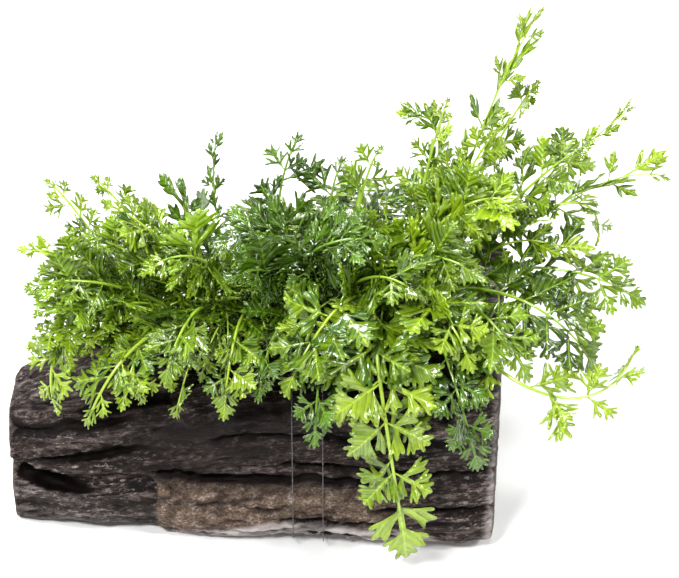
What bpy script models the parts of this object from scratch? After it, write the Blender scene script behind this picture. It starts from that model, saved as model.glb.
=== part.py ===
"""African water fern on driftwood.

A block of dark driftwood lies on its worn flat underside. A creeping rhizome lies along its top,
held by two turns of thread and by its own roots, and its fronds arch out to every side.
Run with: blender --background --python part.py
"""

import math
from collections import namedtuple
from itertools import product

import bmesh
import bpy
from mathutils import Matrix, Vector, noise
from mathutils.bvhtree import BVHTree

MM = 0.001

# Driftwood, in millimetres. X runs along the block, -Y is its front and Z is up.
WOOD_STATIONS = (-74.0, -40.0, 0.0, 40.0, 76.0)
WOOD_FRONT_Y = (-33.0, -37.0, -40.0, -43.0, -45.0)
WOOD_BACK_Y = (4.0, 14.0, 28.0, 38.0, 46.0)
WOOD_TOP_Z = (41.0, 48.0, 51.0, 54.0, 57.0)
WOOD_CORNER_POWER = (3.2, 3.6, 4.2, 4.8, 5.0)
UNDERSIDE_POWER = 11.0
WOOD_AROUND = 36
WOOD_RINGS = 17
SAWN_END_SLANT = 0.085
SAWN_END_FRONT_X = 71.5
TOE_REACH = 4.0
TOE_HEIGHT = 32.0
LEDGE_END_X = -29.0
LEDGE_HEIGHT = 22.0
LEDGE_DEPTH = 2.5
LEDGE_GROOVE = 5.0
ARCH_FROM_X = 5.0
ARCH_TO_X = 29.0
ARCH_RISE = 2.4
FLAT_BELOW_Z = 2.2

# Rhizome, roots and thread, in millimetres.
RHIZOME_RADIUS = 2.8
RHIZOME_PATH = ((-47.0, -9.0), (-30.0, -4.0), (-8.0, 0.0), (16.0, 0.0), (38.0, 3.0), (58.0, 7.0))
RHIZOME_POINTS = 13
ROOT_RADIUS = 0.6
ROOT_STARTS = ((-38.0, -1), (-2.0, 1), (30.0, -1), (50.0, 1))
ROOT_REACH = 30.0
THREAD_RADIUS = 0.2
THREAD_X = (11.5, 20.5)
THREAD_SIDES = 18
GAP = 0.35

# Frond blades and stems, in millimetres and degrees.
STEM_HALF_WIDTH = 0.6
TIP_HALF_WIDTH = 0.4
STEM_THICK = 1.2
BLADE_THICK = 0.45
LEAFLET_FOOT = 0.7
END_LEAFLET_SHARE = 0.66
LEAFLET_TAPER = 0.28
BARE_SHARE = 0.36
WIDTH_SHARE = 0.6
SHOULDER_SHARE = 0.52
STEM_CLEARANCE = 0.9
LEAFLET_CLEARANCE = 0.62

Frond = namedtuple("Frond", "name root_x knee tip leaf pairs roll finish bend", defaults=(None,))

# A frond leaves the rhizome at root_x, bends over below its knee and ends at its tip. leaf is the
# length of its longest leaflet, and roll turns its face about its own stem. bend is the second
# control point of a stem that bends twice.
FRONDS = (
    Frond("frond_front_long", 38, (30, -40, 104), (46, -62, 9), 23, 5, 0, "leaf_lime"),
    Frond("frond_front_spread_left", 34, (26, -34, 98), (9, -47, 62), 21, 4, 0, "leaf_bright"),
    Frond("frond_front_spread_right", 42, (50, -28, 96), (64, -43, 68), 19, 3, 0, "leaf_bright"),
    Frond("frond_front_drop_left", 2, (-4, -34, 90), (-8, -47, 53), 14, 3, 0, "leaf_bright"),
    Frond("frond_front_drop_centre", 12, (6, -30, 88), (2, -47, 60), 15, 3, 0, "leaf_dark"),
    Frond("frond_front_low_left", 26, (20, -38, 86), (18, -51, 46), 15, 4, 0, "leaf_dark"),
    Frond("frond_front_low_right", 50, (54, -40, 82), (66, -53, 38), 16, 4, 0, "leaf_dark"),
    Frond("frond_right_inner", 48, (64, -26, 90), (81, -38, 60), 18, 4, 16, "leaf_mid"),
    Frond("frond_left_hang_outer", -22, (-64, -32, 88), (-56, -42, 50), 12, 3, 0, "leaf_lime"),
    Frond("frond_left_hang_inner", -14, (-34, -38, 86), (-48, -46, 49), 14, 4, 0, "leaf_lime"),
    Frond("frond_left_drop", -8, (-16, -30, 92), (-25, -46, 65), 18, 4, 0, "leaf_mid"),
    Frond("frond_left_wall", -28, (-30, -32, 84), (-37, -47, 57), 14, 3, 0, "leaf_bright"),
    Frond("frond_left_corner", -38, (-50, -30, 80), (-64, -36, 71), 13, 3, -20, "leaf_bright"),
    Frond("frond_left_low", -32, (-46, -26, 86), (-62, -31, 79), 14, 3, -24, "leaf_mid"),
    Frond("frond_left_reach", -24, (-44, -20, 90), (-65, -24, 83), 16, 4, -32, "leaf_mid"),
    Frond("frond_left_far", -30, (-46, -8, 86), (-68, -12, 89), 13, 3, -32, "leaf_bright"),
    Frond("frond_left_shoulder", -18, (-30, -12, 88), (-49, -9, 92), 15, 3, -30, "leaf_mid"),
    Frond("frond_left_crest", -12, (-24, -4, 90), (-44, -2, 99), 17, 4, -15, "leaf_bright"),
    Frond("frond_left_sprig_outer", -34, (-44, 4, 82), (-62, 14, 96), 10, 3, 0, "leaf_bright"),
    Frond("frond_left_sprig_inner", -20, (-32, 6, 86), (-48, 11, 99), 10, 3, 0, "leaf_bright"),
    Frond("frond_top_grey", -10, (-18, 10, 84), (-27, 18, 95), 10, 3, 0, "leaf_dark"),
    Frond("frond_top_thin", -4, (-16, 18, 84), (-11, 28, 103), 6, 3, 0, "leaf_dark"),
    Frond("frond_top_spray", 8, (2, 14, 86), (14, 22, 107), 16, 3, 0, "leaf_dark"),
    Frond("frond_top_centre", 20, (19, 10, 88), (27, 17, 102), 16, 3, 0, "leaf_dark"),
    Frond("frond_top_umbel", 28, (30, 6, 90), (38, 12, 109), 14, 3, 0, "leaf_mid"),
    Frond("frond_top_curl", 48, (64, 34, 116), (45, 36, 100), 9, 3, 0, "leaf_lime"),
    Frond("frond_top_tuft", 44, (50, 20, 96), (58, 30, 114), 11, 3, 0, "leaf_lime"),
    Frond("frond_top_tall", 50, (64, 18, 112), (84, 30, 145), 14, 4, 0, "leaf_lime"),
    Frond("frond_top_inner", 46, (58, 6, 96), (72, 12, 116), 14, 3, 0, "leaf_bright"),
    Frond("frond_top_right", 54, (70, 28, 98), (85, 36, 116), 13, 3, 0, "leaf_bright"),
    Frond("frond_right_high", 52, (80, 6, 102), (99, 8, 113), 18, 4, 20, "leaf_mid"),
    Frond("frond_right_thin", 57, (90, 24, 92), (113, 28, 112), 9, 3, 0, "leaf_lime"),
    Frond("frond_right_far", 55, (104, 22, 108), (126, 24, 88), 14, 3, 20, "leaf_lime"),
    Frond("frond_right_hang", 56, (104, 6, 118), (102, 2, 79), 11, 3, 0, "leaf_bright"),
    Frond("frond_right_wiry", 54, (78, -4, 98), (97, -8, 79), 11, 3, 25, "leaf_bright"),
    Frond("frond_right_reach", 56, (86, -10, 90), (116, -15, 71), 20, 4, 30, "leaf_mid"),
    Frond("frond_right_broad", 52, (84, -22, 92), (102, -28, 55), 20, 4, 24, "leaf_mid"),
    Frond("frond_right_low", 58, (68, -56, 80), (112, -26, 65), 16, 4, 20, "leaf_lime", (102, -44, 42)),
    Frond("frond_centre_left", -6, (-14, -8, 98), (-34, -16, 84), 20, 4, -32, "leaf_mid"),
    Frond("frond_centre", 22, (12, -8, 102), (-12, -14, 91), 20, 4, -32, "leaf_dark"),
    Frond("frond_centre_low", 16, (8, -16, 92), (-8, -24, 86), 19, 3, -32, "leaf_dark"),
    Frond("frond_centre_front", 20, (34, -20, 94), (50, -30, 84), 19, 3, 30, "leaf_mid"),
    Frond("frond_centre_right", 6, (16, -6, 102), (40, -12, 91), 20, 4, 32, "leaf_dark"),
    Frond("frond_centre_far_right", 30, (44, -14, 100), (68, -24, 86), 20, 4, 32, "leaf_mid"),
    Frond("frond_crown_right", 42, (58, 0, 108), (80, -4, 98), 18, 4, 30, "leaf_bright"),
    Frond("frond_back_left", -36, (-46, 20, 76), (-54, 38, 36), 17, 3, 0, "leaf_mid"),
    Frond("frond_back_centre_left", -16, (-22, 34, 80), (-24, 54, 32), 19, 3, 0, "leaf_dark"),
    Frond("frond_back_centre", 6, (4, 42, 84), (4, 64, 34), 20, 3, 0, "leaf_mid"),
    Frond("frond_back_centre_right", 30, (32, 48, 88), (34, 74, 38), 21, 3, 0, "leaf_mid"),
    Frond("frond_back_right", 52, (66, 50, 88), (72, 78, 42), 20, 3, 0, "leaf_bright"),
)

# Ways aside that a stem or a leaflet may take to stay clear of what grew before it.
ROOT_SHIFTS = (0.0, 2.2, -2.2, 4.4, -4.4, 6.6, -6.6)
KNEE_LIFTS = (0.0, 5.0, -5.0, 10.0)
KNEE_SWAYS = (0.0, 5.0, -5.0, 10.0, -10.0)
TIP_LEANS = (0.0, 2.5, -2.5, 5.0, -5.0)
LEAFLET_TILTS = (0.0, 14.0, -14.0, 28.0, -28.0, 42.0, -42.0, 56.0, -56.0, 70.0)
LEAFLET_SHARES = (1.0, 0.82, 0.66, 0.5)

# Finish: base colour and roughness.
FINISHES = {
    "driftwood": ((0.045, 0.036, 0.033), 0.62),
    "rhizome": ((0.060, 0.075, 0.020), 0.55),
    "root": ((0.055, 0.035, 0.020), 0.70),
    "thread": ((0.420, 0.400, 0.430), 0.40),
    "leaf_dark": ((0.035, 0.140, 0.018), 0.32),
    "leaf_mid": ((0.080, 0.260, 0.018), 0.32),
    "leaf_bright": ((0.160, 0.380, 0.022), 0.34),
    "leaf_lime": ((0.300, 0.500, 0.040), 0.36),
}


def clear_scene():
    for obj in list(bpy.data.objects):
        bpy.data.objects.remove(obj)


def material(finish):
    found = bpy.data.materials.get(finish)
    if found:
        return found
    colour, roughness = FINISHES[finish]
    made = bpy.data.materials.new(finish)
    made.use_nodes = True
    shader = made.node_tree.nodes["Principled BSDF"]
    shader.inputs["Base Color"].default_value = (*colour, 1.0)
    shader.inputs["Roughness"].default_value = roughness
    shader.inputs["Metallic"].default_value = 0.0
    made.diffuse_color = (*colour, 1.0)
    return made


def add_object(name, data, finish, collection):
    obj = bpy.data.objects.new(name, data)
    obj.data.materials.append(material(finish))
    collection.objects.link(obj)
    return obj


def between(x, values):
    """A width along the driftwood at x, eased between its stations."""
    stations = WOOD_STATIONS
    if x <= stations[0]:
        return values[0]
    for i in range(len(stations) - 1):
        if x <= stations[i + 1]:
            share = (x - stations[i]) / (stations[i + 1] - stations[i])
            ease = share * share * (3 - 2 * share)
            return values[i] + (values[i + 1] - values[i]) * ease
    return values[-1]


def ramp(value, start, end):
    share = max(0.0, min(1.0, (value - start) / (end - start)))
    return share * share * (3 - 2 * share)


def wood_point(share, angle):
    """A point of the driftwood's skin, in mm: share runs from its left end to its sawn right end."""
    low, high = WOOD_STATIONS[0], WOOD_STATIONS[-1]
    x = low + (high - low) * share
    half_deep = (between(x, WOOD_BACK_Y) - between(x, WOOD_FRONT_Y)) / 2
    half_high = between(x, WOOD_TOP_Z) / 2
    middle_y = (between(x, WOOD_BACK_Y) + between(x, WOOD_FRONT_Y)) / 2
    power = between(x, WOOD_CORNER_POWER)
    c, s = math.cos(angle), math.sin(angle)
    if s < 0:
        power = UNDERSIDE_POWER
    reach = (abs(c / half_deep) ** power + abs(s / half_high) ** power) ** (-1 / power)

    # Long swells and ridges follow the grain, along X.
    reach += 2.2 * noise.noise(Vector((x / 46, c * 1.3, s * 1.3 + 4)))
    reach += 1.5 * noise.noise(Vector((x / 60 + 9, c * 5.0, s * 5.0)))

    # The left end is worn round, and the sawn right end has only a narrow round edge.
    worn_end = (0.11 + 0.06 * s) * (1 - ramp(x, low, low + 8))
    reach *= 1 - worn_end - 0.04 * ramp(x, high - 3, high)
    y = middle_y + reach * c
    z = half_high + reach * s

    # The front's foot stands out. On the left it is worn back below the ledge.
    front = ramp(-c, 0.05, 0.35)
    y -= TOE_REACH * front * (1 - ramp(z, 6.0, TOE_HEIGHT))
    under_ledge = 1 - ramp(z, LEDGE_HEIGHT - 2, LEDGE_HEIGHT + 1)
    groove = max(0.0, 1 - abs(z - LEDGE_HEIGHT + 3) / 4) * LEDGE_GROOVE
    worn = (LEDGE_DEPTH * under_ledge + groove) * front
    y += worn * (1 - ramp(x, LEDGE_END_X - 4, LEDGE_END_X + 2))

    # Two open cracks above it follow the grain.
    for height, depth, end_x in ((30.0, 2.6, 18.0), (38.5, 2.2, -6.0)):
        line = height + 0.05 * (x - low)
        crack = max(0.0, 1 - abs(z - line) / 3.2) * (1 - ramp(x, end_x - 24, end_x))
        y += depth * front * crack

    # The right end was sawn a little askew, and the underside is worn flat.
    x += ramp(share, 0.75, 1.0) * (SAWN_END_FRONT_X - high + SAWN_END_SLANT * (y + 45))
    if z < FLAT_BELOW_Z:
        z = 0.0
        if ARCH_FROM_X < x < ARCH_TO_X:
            z = ARCH_RISE
    return Vector((x, y, z))


def make_driftwood(collection):
    """A cylinder with rings along its length, whose points move to the driftwood's skin."""
    bm = bmesh.new()
    bmesh.ops.create_cone(
        bm, cap_ends=True, segments=WOOD_AROUND, radius1=1.0, radius2=1.0, depth=1.0
    )
    long_edges = [e for e in bm.edges if abs(e.verts[0].co.z - e.verts[1].co.z) > 0.5]
    bmesh.ops.subdivide_edges(bm, edges=long_edges, cuts=WOOD_RINGS, use_grid_fill=True)
    for vert in bm.verts:
        vert.co = wood_point(vert.co.z + 0.5, math.atan2(vert.co.y, vert.co.x)) * MM
    caps = [f for f in bm.faces if len(f.verts) > 4]
    bmesh.ops.poke(bm, faces=caps)
    bmesh.ops.triangulate(bm, faces=bm.faces)
    bmesh.ops.recalc_face_normals(bm, faces=bm.faces)
    mesh = bpy.data.meshes.new("driftwood")
    bm.to_mesh(mesh)
    bm.free()
    return add_object("driftwood", mesh, "driftwood", collection)


class Obstacles:
    """Every surface made so far, for keeping new pieces clear of it."""

    def __init__(self):
        self.points = []
        self.faces = []
        self.tree = None

    def add(self, obj):
        graph = bpy.context.evaluated_depsgraph_get()
        graph.update()
        mesh = bpy.data.meshes.new_from_object(obj.evaluated_get(graph))
        first = len(self.points)
        self.points += [obj.matrix_world @ v.co for v in mesh.vertices]
        self.faces += [[first + i for i in p.vertices] for p in mesh.polygons]
        bpy.data.meshes.remove(mesh)
        self.tree = BVHTree.FromPolygons(self.points, self.faces)

    def top(self, x, y):
        """The height in mm of the highest surface within reach of x and y."""
        heights = []
        for dx in (-2.0, 0.0, 2.0):
            for dy in (-2.0, 0.0, 2.0):
                start = Vector((x + dx, y + dy, 300.0)) * MM
                hit = self.tree.ray_cast(start, Vector((0, 0, -1)))[0]
                if hit:
                    heights.append(hit.z / MM)
        return max(heights)


def along(path, share):
    """A point on the smooth path through the given points, at share of its length."""
    spans = len(path) - 1
    place = min(share * spans, spans - 1e-6)
    i = int(place)
    t = place - i
    p = [Vector(path[max(0, min(spans, i + k))]) for k in (-1, 0, 1, 2)]
    return 0.5 * (
        2 * p[1]
        + (p[2] - p[0]) * t
        + (2 * p[0] - 5 * p[1] + 4 * p[2] - p[3]) * t * t
        + (3 * p[1] - p[0] - 3 * p[2] + p[3]) * t ** 3
    )


def tube(name, points, radius, finish, collection, closed=False, radii=None, sides=1):
    """A tube along points, in metres, as a curve with a round bevel."""
    curve = bpy.data.curves.new(name, "CURVE")
    curve.dimensions = "3D"
    curve.bevel_depth = radius * MM
    curve.bevel_resolution = sides
    curve.use_fill_caps = not closed
    spline = curve.splines.new("POLY")
    spline.points.add(len(points) - 1)
    for i, point in enumerate(points):
        spline.points[i].co = (*point, 1.0)
        spline.points[i].radius = radii[i] if radii else 1.0
    spline.use_cyclic_u = closed
    return add_object(name, curve, finish, collection)


def rhizome_centre(x, wood):
    """The centre of the rhizome above the driftwood at x."""
    first, last = RHIZOME_PATH[0][0], RHIZOME_PATH[-1][0]
    y = along([(*p, 0.0) for p in RHIZOME_PATH], (x - first) / (last - first)).y
    heights = [wood.top(x + dx, y) for dx in (-3.0, 0.0, 3.0)]
    return Vector((x, y, max(heights) + RHIZOME_RADIUS + GAP)) * MM


def make_rhizome(wood, collection):
    first, last = RHIZOME_PATH[0][0], RHIZOME_PATH[-1][0]
    points = []
    radii = []
    for i in range(RHIZOME_POINTS):
        share = i / (RHIZOME_POINTS - 1)
        points.append(rhizome_centre(first + (last - first) * share, wood))
        swell = 0.9 + 0.1 * math.cos(i * 2.1)
        radii.append(swell * min(1.0, 0.55 + 4 * min(share, 1 - share)))
    return tube("rhizome", points, RHIZOME_RADIUS, "rhizome", collection, radii=radii)


def make_root(index, start_x, side, wood, collection):
    """A root that leaves the rhizome to one side and creeps over the wood's top."""
    centre = rhizome_centre(start_x, wood) / MM
    points = []
    count = 7
    for i in range(count):
        share = i / (count - 1)
        y = centre.y + side * (RHIZOME_RADIUS + 1.4 + share * (ROOT_REACH - 12.0))
        x = start_x + 6.0 * share * side + 2.5 * math.sin(4.0 * share + index)
        points.append(Vector((x, y, wood.top(x, y) + ROOT_RADIUS + GAP)) * MM)
    radii = [1.15 - 0.6 * i / (count - 1) for i in range(count)]
    name = f"root_{index + 1}"
    return tube(name, points, ROOT_RADIUS, "root", collection, radii=radii, sides=0)


def make_thread(index, x, wood, collection):
    """One taut turn of thread round the wood and the rhizome, at x."""
    off = (THREAD_RADIUS * 1.2 + GAP) * MM
    centre = rhizome_centre(x, wood)
    rim = []
    for i in range(16):
        angle = math.tau * i / 16
        outward = Vector((0, math.cos(angle), math.sin(angle)))
        rim.append((centre + outward * RHIZOME_RADIUS * MM).yz)
    for face in wood.faces:
        for i, j in zip(face, face[1:] + face[:1]):
            a, b = wood.points[i], wood.points[j]
            for shift in (-0.5, 0.0, 0.5):
                plane = (x + shift) * MM
                if (a.x - plane) * (b.x - plane) < 0:
                    rim.append(a.lerp(b, (plane - a.x) / (b.x - a.x)).yz)

    # The turn is drawn by straight lines that touch the rim from every side.
    lines = []
    for i in range(THREAD_SIDES):
        angle = math.tau * (i + 0.5) / THREAD_SIDES
        outward = Vector((math.cos(angle), math.sin(angle)))
        lines.append((outward, max(outward.dot(p) for p in rim) + off))
    points = []
    for (n1, d1), (n2, d2) in zip(lines, lines[1:] + lines[:1]):
        across = n1.x * n2.y - n1.y * n2.x
        y = (d1 * n2.y - d2 * n1.y) / across
        z = (n1.x * d2 - n2.x * d1) / across
        point = Vector((x * MM, y, z))
        if not points or (point - points[-1]).length > 0.5 * MM:
            points.append(point)
    name = f"thread_turn_{index + 1}"
    return tube(name, points, THREAD_RADIUS, "thread", collection, closed=True, sides=0)


class Spine:
    """The arching line of a frond, in metres, with its tangent and its side direction."""

    def __init__(self, frond, centre, lift, sway, lean):
        tip = Vector(frond.tip) * MM
        knee = Vector(frond.knee) * MM
        flat = Vector((tip.x - centre.x, tip.y - centre.y, 0)).normalized()
        self.side = Vector((flat.y, -flat.x, 0))
        knee += Vector((0, 0, lift * MM)) + self.side * sway * MM
        tip += self.side * lean * MM
        start = (knee - centre).normalized()
        outward = Vector((0, start.y, start.z)).normalized()
        self.root = centre + outward * (RHIZOME_RADIUS + GAP + 0.9 * abs(start.x)) * MM
        self.knee = knee if frond.bend else self.root.lerp(knee, 2 / 3)
        self.bend = Vector(frond.bend) * MM if frond.bend else tip.lerp(knee, 2 / 3)
        self.tip = tip
        self.roll = math.radians(frond.roll)

    def point(self, t):
        u = 1 - t
        near = self.root * u ** 3 + self.knee * 3 * u * u * t
        return near + self.bend * 3 * u * t * t + self.tip * t ** 3

    def tangent(self, t):
        u = 1 - t
        near = (self.knee - self.root) * u * u + (self.bend - self.knee) * 2 * u * t
        return (near + (self.tip - self.bend) * t * t).normalized()

    def across(self, t):
        """The unit vector to the right of the stem, in the plane of the blade."""
        along_stem = self.tangent(t)
        flat = (self.side - along_stem * self.side.dot(along_stem)).normalized()
        return Matrix.Rotation(self.roll, 3, along_stem) @ flat

    def length(self):
        steps = [self.point(i / 24) for i in range(25)]
        return sum((steps[i + 1] - steps[i]).length for i in range(24))


def leaflet_places(frond, spine):
    """For each pair of leaflets: its place on the stem, its angle from the stem and its length."""
    length = spine.length() / MM
    blade_end = 1 - END_LEAFLET_SHARE * frond.leaf / length
    last = blade_end - 0.22 * frond.leaf / length
    first = min(BARE_SHARE, last - 0.2)
    places = []
    for k in range(frond.pairs):
        share = k / (frond.pairs - 1)
        t = first + (last - first) * share
        angle = math.radians(64 - 14 * share)
        size = frond.leaf * (0.86 + 0.14 * math.sin(math.pi * min(1, share * 1.6)) - LEAFLET_TAPER * share)
        places.append((t, angle, size))
    spacing = (last - first) * length / (frond.pairs - 1)
    return places, blade_end, spacing


def stem_stations(spine, places, blade_end):
    """Where along the stem its sheet has a row of points: one each side of every leaflet's foot."""
    foot = LEAFLET_FOOT / 2 * MM / spine.length()
    feet = [t + shift for t, angle, size in places for shift in (-foot, foot)]
    return [0.0, places[0][0] / 2, *feet, blade_end]


def leaflet_corners(spine, t, angle, size, width, side, tilt):
    """The left shoulder, tip and right shoulder of a leaflet on one side of the stem."""
    stem = spine.tangent(t)
    turn = Matrix.Rotation(math.radians(-tilt * side), 3, stem)
    out = turn @ spine.across(t) * side
    axis = stem * math.cos(angle) + out * math.sin(angle)
    flat = stem * math.sin(angle) - out * math.cos(angle)
    foot = spine.point(t)
    middle = foot + axis * size * SHOULDER_SHARE * MM
    half = flat * width / 2 * MM
    return middle - half, foot + axis * size * MM, middle + half


def end_corners(frond, spine, blade_end):
    """The left shoulder, tip and right shoulder of the leaflet that ends the frond."""
    middle = blade_end + (1 - blade_end) * 0.5
    half = spine.across(middle) * frond.leaf * 0.2 * MM
    return spine.point(middle) - half, spine.point(1.0), spine.point(middle) + half


def plate(corners, half_thick=LEAFLET_CLEARANCE * MM):
    """The points and faces of a plate a little larger than a flat outline."""
    normal = (corners[1] - corners[0]).cross(corners[-1] - corners[0]).normalized()
    centre = sum(corners, Vector()) / len(corners)
    grown = [centre + (c - centre) * 1.07 for c in corners]
    points = [c + normal * half_thick for c in grown] + [c - normal * half_thick for c in grown]
    n = len(corners)
    faces = [list(range(n)), list(range(n, 2 * n))[::-1]]
    faces += [[i, i + n, (i + 1) % n + n, (i + 1) % n] for i in range(n)]
    return points, faces


def stem_plates(spine, stations, bare):
    """Square sleeves round the stem's straight runs; the first begins a bare distance up."""
    rows = [spine.point(t) for t in (*stations, 1.0)]
    rows[0] += (rows[1] - rows[0]).normalized() * bare
    plates = []
    for a, b, t in zip(rows, rows[1:], stations):
        half = spine.across(t) * STEM_CLEARANCE * MM
        plates.append(plate([a - half, a + half, b + half, b - half], STEM_CLEARANCE * MM))
    return plates


def tree_of(plates):
    points = []
    faces = []
    for more_points, more_faces in plates:
        faces += [[len(points) + i for i in face] for face in more_faces]
        points += more_points
    return BVHTree.FromPolygons(points, faces)


def clear_spine(frond, wood, ground, grown):
    """The first way for the stem that stays clear of everything made before."""
    for lean, sway, lift, shift in product(TIP_LEANS, KNEE_SWAYS, KNEE_LIFTS, ROOT_SHIFTS):
        centre = rhizome_centre(frond.root_x + shift, wood)
        spine = Spine(frond, centre, lift, sway, lean)
        places, blade_end, spacing = leaflet_places(frond, spine)
        stations = stem_stations(spine, places, blade_end)
        if tree_of(stem_plates(spine, stations, 0.0)).overlap(grown.tree):
            continue
        if tree_of(stem_plates(spine, stations, 3.0 * MM)).overlap(ground.tree):
            continue
        left, tip, right = end_corners(frond, spine, blade_end)
        end = tree_of([plate([spine.point(blade_end), left, tip, right])])
        if not end.overlap(grown.tree) and not end.overlap(ground.tree):
            return spine, end
    raise ValueError(f"{frond.name} finds no clear way")


def clear_leaflet(spine, place, width, side, trees, own):
    """A leaflet's corners, turned or shortened until it is clear, or None where there's no room."""
    t, angle, size = place
    foot = spine.point(t)
    for share in LEAFLET_SHARES:
        for tilt in LEAFLET_TILTS:
            corners = leaflet_corners(spine, t, angle, size * share, width * share, side, tilt)
            whole = tree_of([plate([foot, *corners])])
            if min(c.z for c in corners) < 0.0015 or any(map(whole.overlap, trees)):
                continue
            heel = [foot.lerp(corners[0], 0.3), foot.lerp(corners[2], 0.3)]
            blade = tree_of([plate([heel[0], *corners, heel[1]])])
            if not any(blade.overlap(other) for other in own):
                own.append(blade)
                return corners
    return None


def make_frond(frond, wood, ground, grown, collection):
    """A frond as one thickened sheet: a flat stem with kite-shaped leaflets along its sides."""
    spine, end = clear_spine(frond, wood, ground, grown)
    places, blade_end, spacing = leaflet_places(frond, spine)
    own = [end]
    leaflets = []
    for place in places:
        t, angle, size = place
        width = min(WIDTH_SHARE * size, 0.9 * spacing * math.sin(angle))
        for side in (-1, 1):
            corners = clear_leaflet(spine, place, width, side, (ground.tree, grown.tree), own)
            if corners:
                leaflets.append((t, side, corners))

    stations = stem_stations(spine, places, blade_end)
    bm = bmesh.new()
    group = bm.verts.layers.deform.verify()
    strip = []
    for t in stations:
        half = (STEM_HALF_WIDTH + (TIP_HALF_WIDTH - STEM_HALF_WIDTH) * t) * MM
        pair = [bm.verts.new(spine.point(t) + spine.across(t) * half * side) for side in (-1, 1)]
        for vert in pair:
            vert[group][0] = 1.0 - 0.45 * t
        strip.append(pair)
    for a, b in zip(strip, strip[1:]):
        bm.faces.new((a[0], a[1], b[1], b[0]))
    for t, side, corners in leaflets:
        i = sum(station < t for station in stations) - 1
        edge = 0 if side < 0 else 1
        near, far = strip[i][edge], strip[i + 1][edge]
        low, tip, high = (bm.verts.new(c) for c in corners)
        if side < 0:
            bm.faces.new((near, far, high, low))
            bm.faces.new((low, high, tip))
        else:
            bm.faces.new((far, near, low, high))
            bm.faces.new((high, low, tip))
    left, tip, right = (bm.verts.new(c) for c in end_corners(frond, spine, blade_end))
    bm.faces.new((*strip[-1], right, left))
    bm.faces.new((left, right, tip))

    mesh = bpy.data.meshes.new(frond.name)
    bm.to_mesh(mesh)
    bm.free()
    obj = add_object(frond.name, mesh, frond.finish, collection)
    obj.vertex_groups.new(name="stem")
    solid = obj.modifiers.new("thickness", "SOLIDIFY")
    solid.thickness = STEM_THICK * MM
    solid.offset = 0.0
    solid.vertex_group = "stem"
    solid.thickness_vertex_group = BLADE_THICK / STEM_THICK
    return obj


def main():
    clear_scene()
    collection = bpy.data.collections.new("water_fern_on_driftwood")
    bpy.context.scene.collection.children.link(collection)
    wood = Obstacles()
    wood.add(make_driftwood(collection))
    ground = Obstacles()
    ground.add(collection.objects["driftwood"])
    ground.add(make_rhizome(wood, collection))
    grown = Obstacles()
    for index, (x, side) in enumerate(ROOT_STARTS):
        grown.add(make_root(index, x, side, wood, collection))
    for index, x in enumerate(THREAD_X):
        grown.add(make_thread(index, x, wood, collection))
    for frond in FRONDS:
        grown.add(make_frond(frond, wood, ground, grown, collection))


main()
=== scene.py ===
"""African water fern on driftwood: the looks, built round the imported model.

Every frond grows again along its own stem, with lobed leaflets where the model has plain ones.
Lengths are in millimetres until a mesh is made, and in the frame that is metres.
"""

import copy
import math
import random
from collections import namedtuple
from itertools import product

import bmesh
import bpy
import numpy as np
from mathutils import Matrix, Vector, geometry, noise
from mathutils.bvhtree import BVHTree
from mathutils.kdtree import KDTree


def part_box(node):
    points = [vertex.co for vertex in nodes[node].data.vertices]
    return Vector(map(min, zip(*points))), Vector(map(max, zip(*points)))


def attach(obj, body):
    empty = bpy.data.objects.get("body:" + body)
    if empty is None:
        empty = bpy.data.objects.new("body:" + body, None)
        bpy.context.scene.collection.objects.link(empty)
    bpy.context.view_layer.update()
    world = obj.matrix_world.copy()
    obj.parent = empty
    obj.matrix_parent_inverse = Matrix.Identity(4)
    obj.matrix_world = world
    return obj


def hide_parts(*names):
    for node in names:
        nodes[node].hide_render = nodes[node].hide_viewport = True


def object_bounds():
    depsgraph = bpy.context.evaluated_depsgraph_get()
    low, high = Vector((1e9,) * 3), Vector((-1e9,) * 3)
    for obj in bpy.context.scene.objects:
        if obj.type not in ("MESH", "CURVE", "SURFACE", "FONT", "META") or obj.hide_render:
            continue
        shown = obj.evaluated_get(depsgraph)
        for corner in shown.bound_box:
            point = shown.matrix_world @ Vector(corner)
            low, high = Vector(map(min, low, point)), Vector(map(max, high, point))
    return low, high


MM = 0.001
UP = Vector((0, 0, 1))

# The camera looks down on the wood's front. Its picture is this many pixels wide.
CAMERA_TARGET = (25.4, 0.0, 64.6)
CAMERA_DISTANCE = 620.0
CAMERA_ELEVATION = 38.0
PICTURE_WIDTH = 679
MM_PER_PIXEL = 0.3
SENSOR_WIDTH = 36.0

# Soft lights: where each is and how large, in metres, and its power in watts.
LIGHTS = {
    "key_light": ((-0.24, -0.46, 0.74), (0.18, 0.15), 6.2),
    "back_light": ((0.18, 0.42, 0.80), (0.20, 0.12), 4.8),
    "left_light": ((-0.54, 0.00, 0.66), (0.13, 0.13), 3.2),
    "far_light": ((-0.24, 0.50, 0.56), (0.12, 0.12), 3.2),
    "fill_light": ((0.60, -0.30, 0.62), (0.14, 0.14), 3.6),
}
LIGHT_AIM = (0.02, 0.0, 0.05)
WORLD_STRENGTH = 0.32
FLOOR_SIZE = 6.0
FLOOR_DROP = 0.0002

# The rhizome's way along the wood, and how far stems and roots stand off, as in the model.
RHIZOME_RADIUS = 2.8
RHIZOME_PATH = ((-47.0, -9.0), (-30.0, -4.0), (-8.0, 0.0), (16.0, 0.0), (38.0, 3.0), (58.0, 7.0))
ROOT_RADIUS = 0.6
ROOT_STARTS = ((-38.0, -1), (-2.0, 1), (30.0, -1), (50.0, 1))
ROOT_REACH = 18.0
THREAD_RADIUS = 0.2
GAP = 0.35

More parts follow.
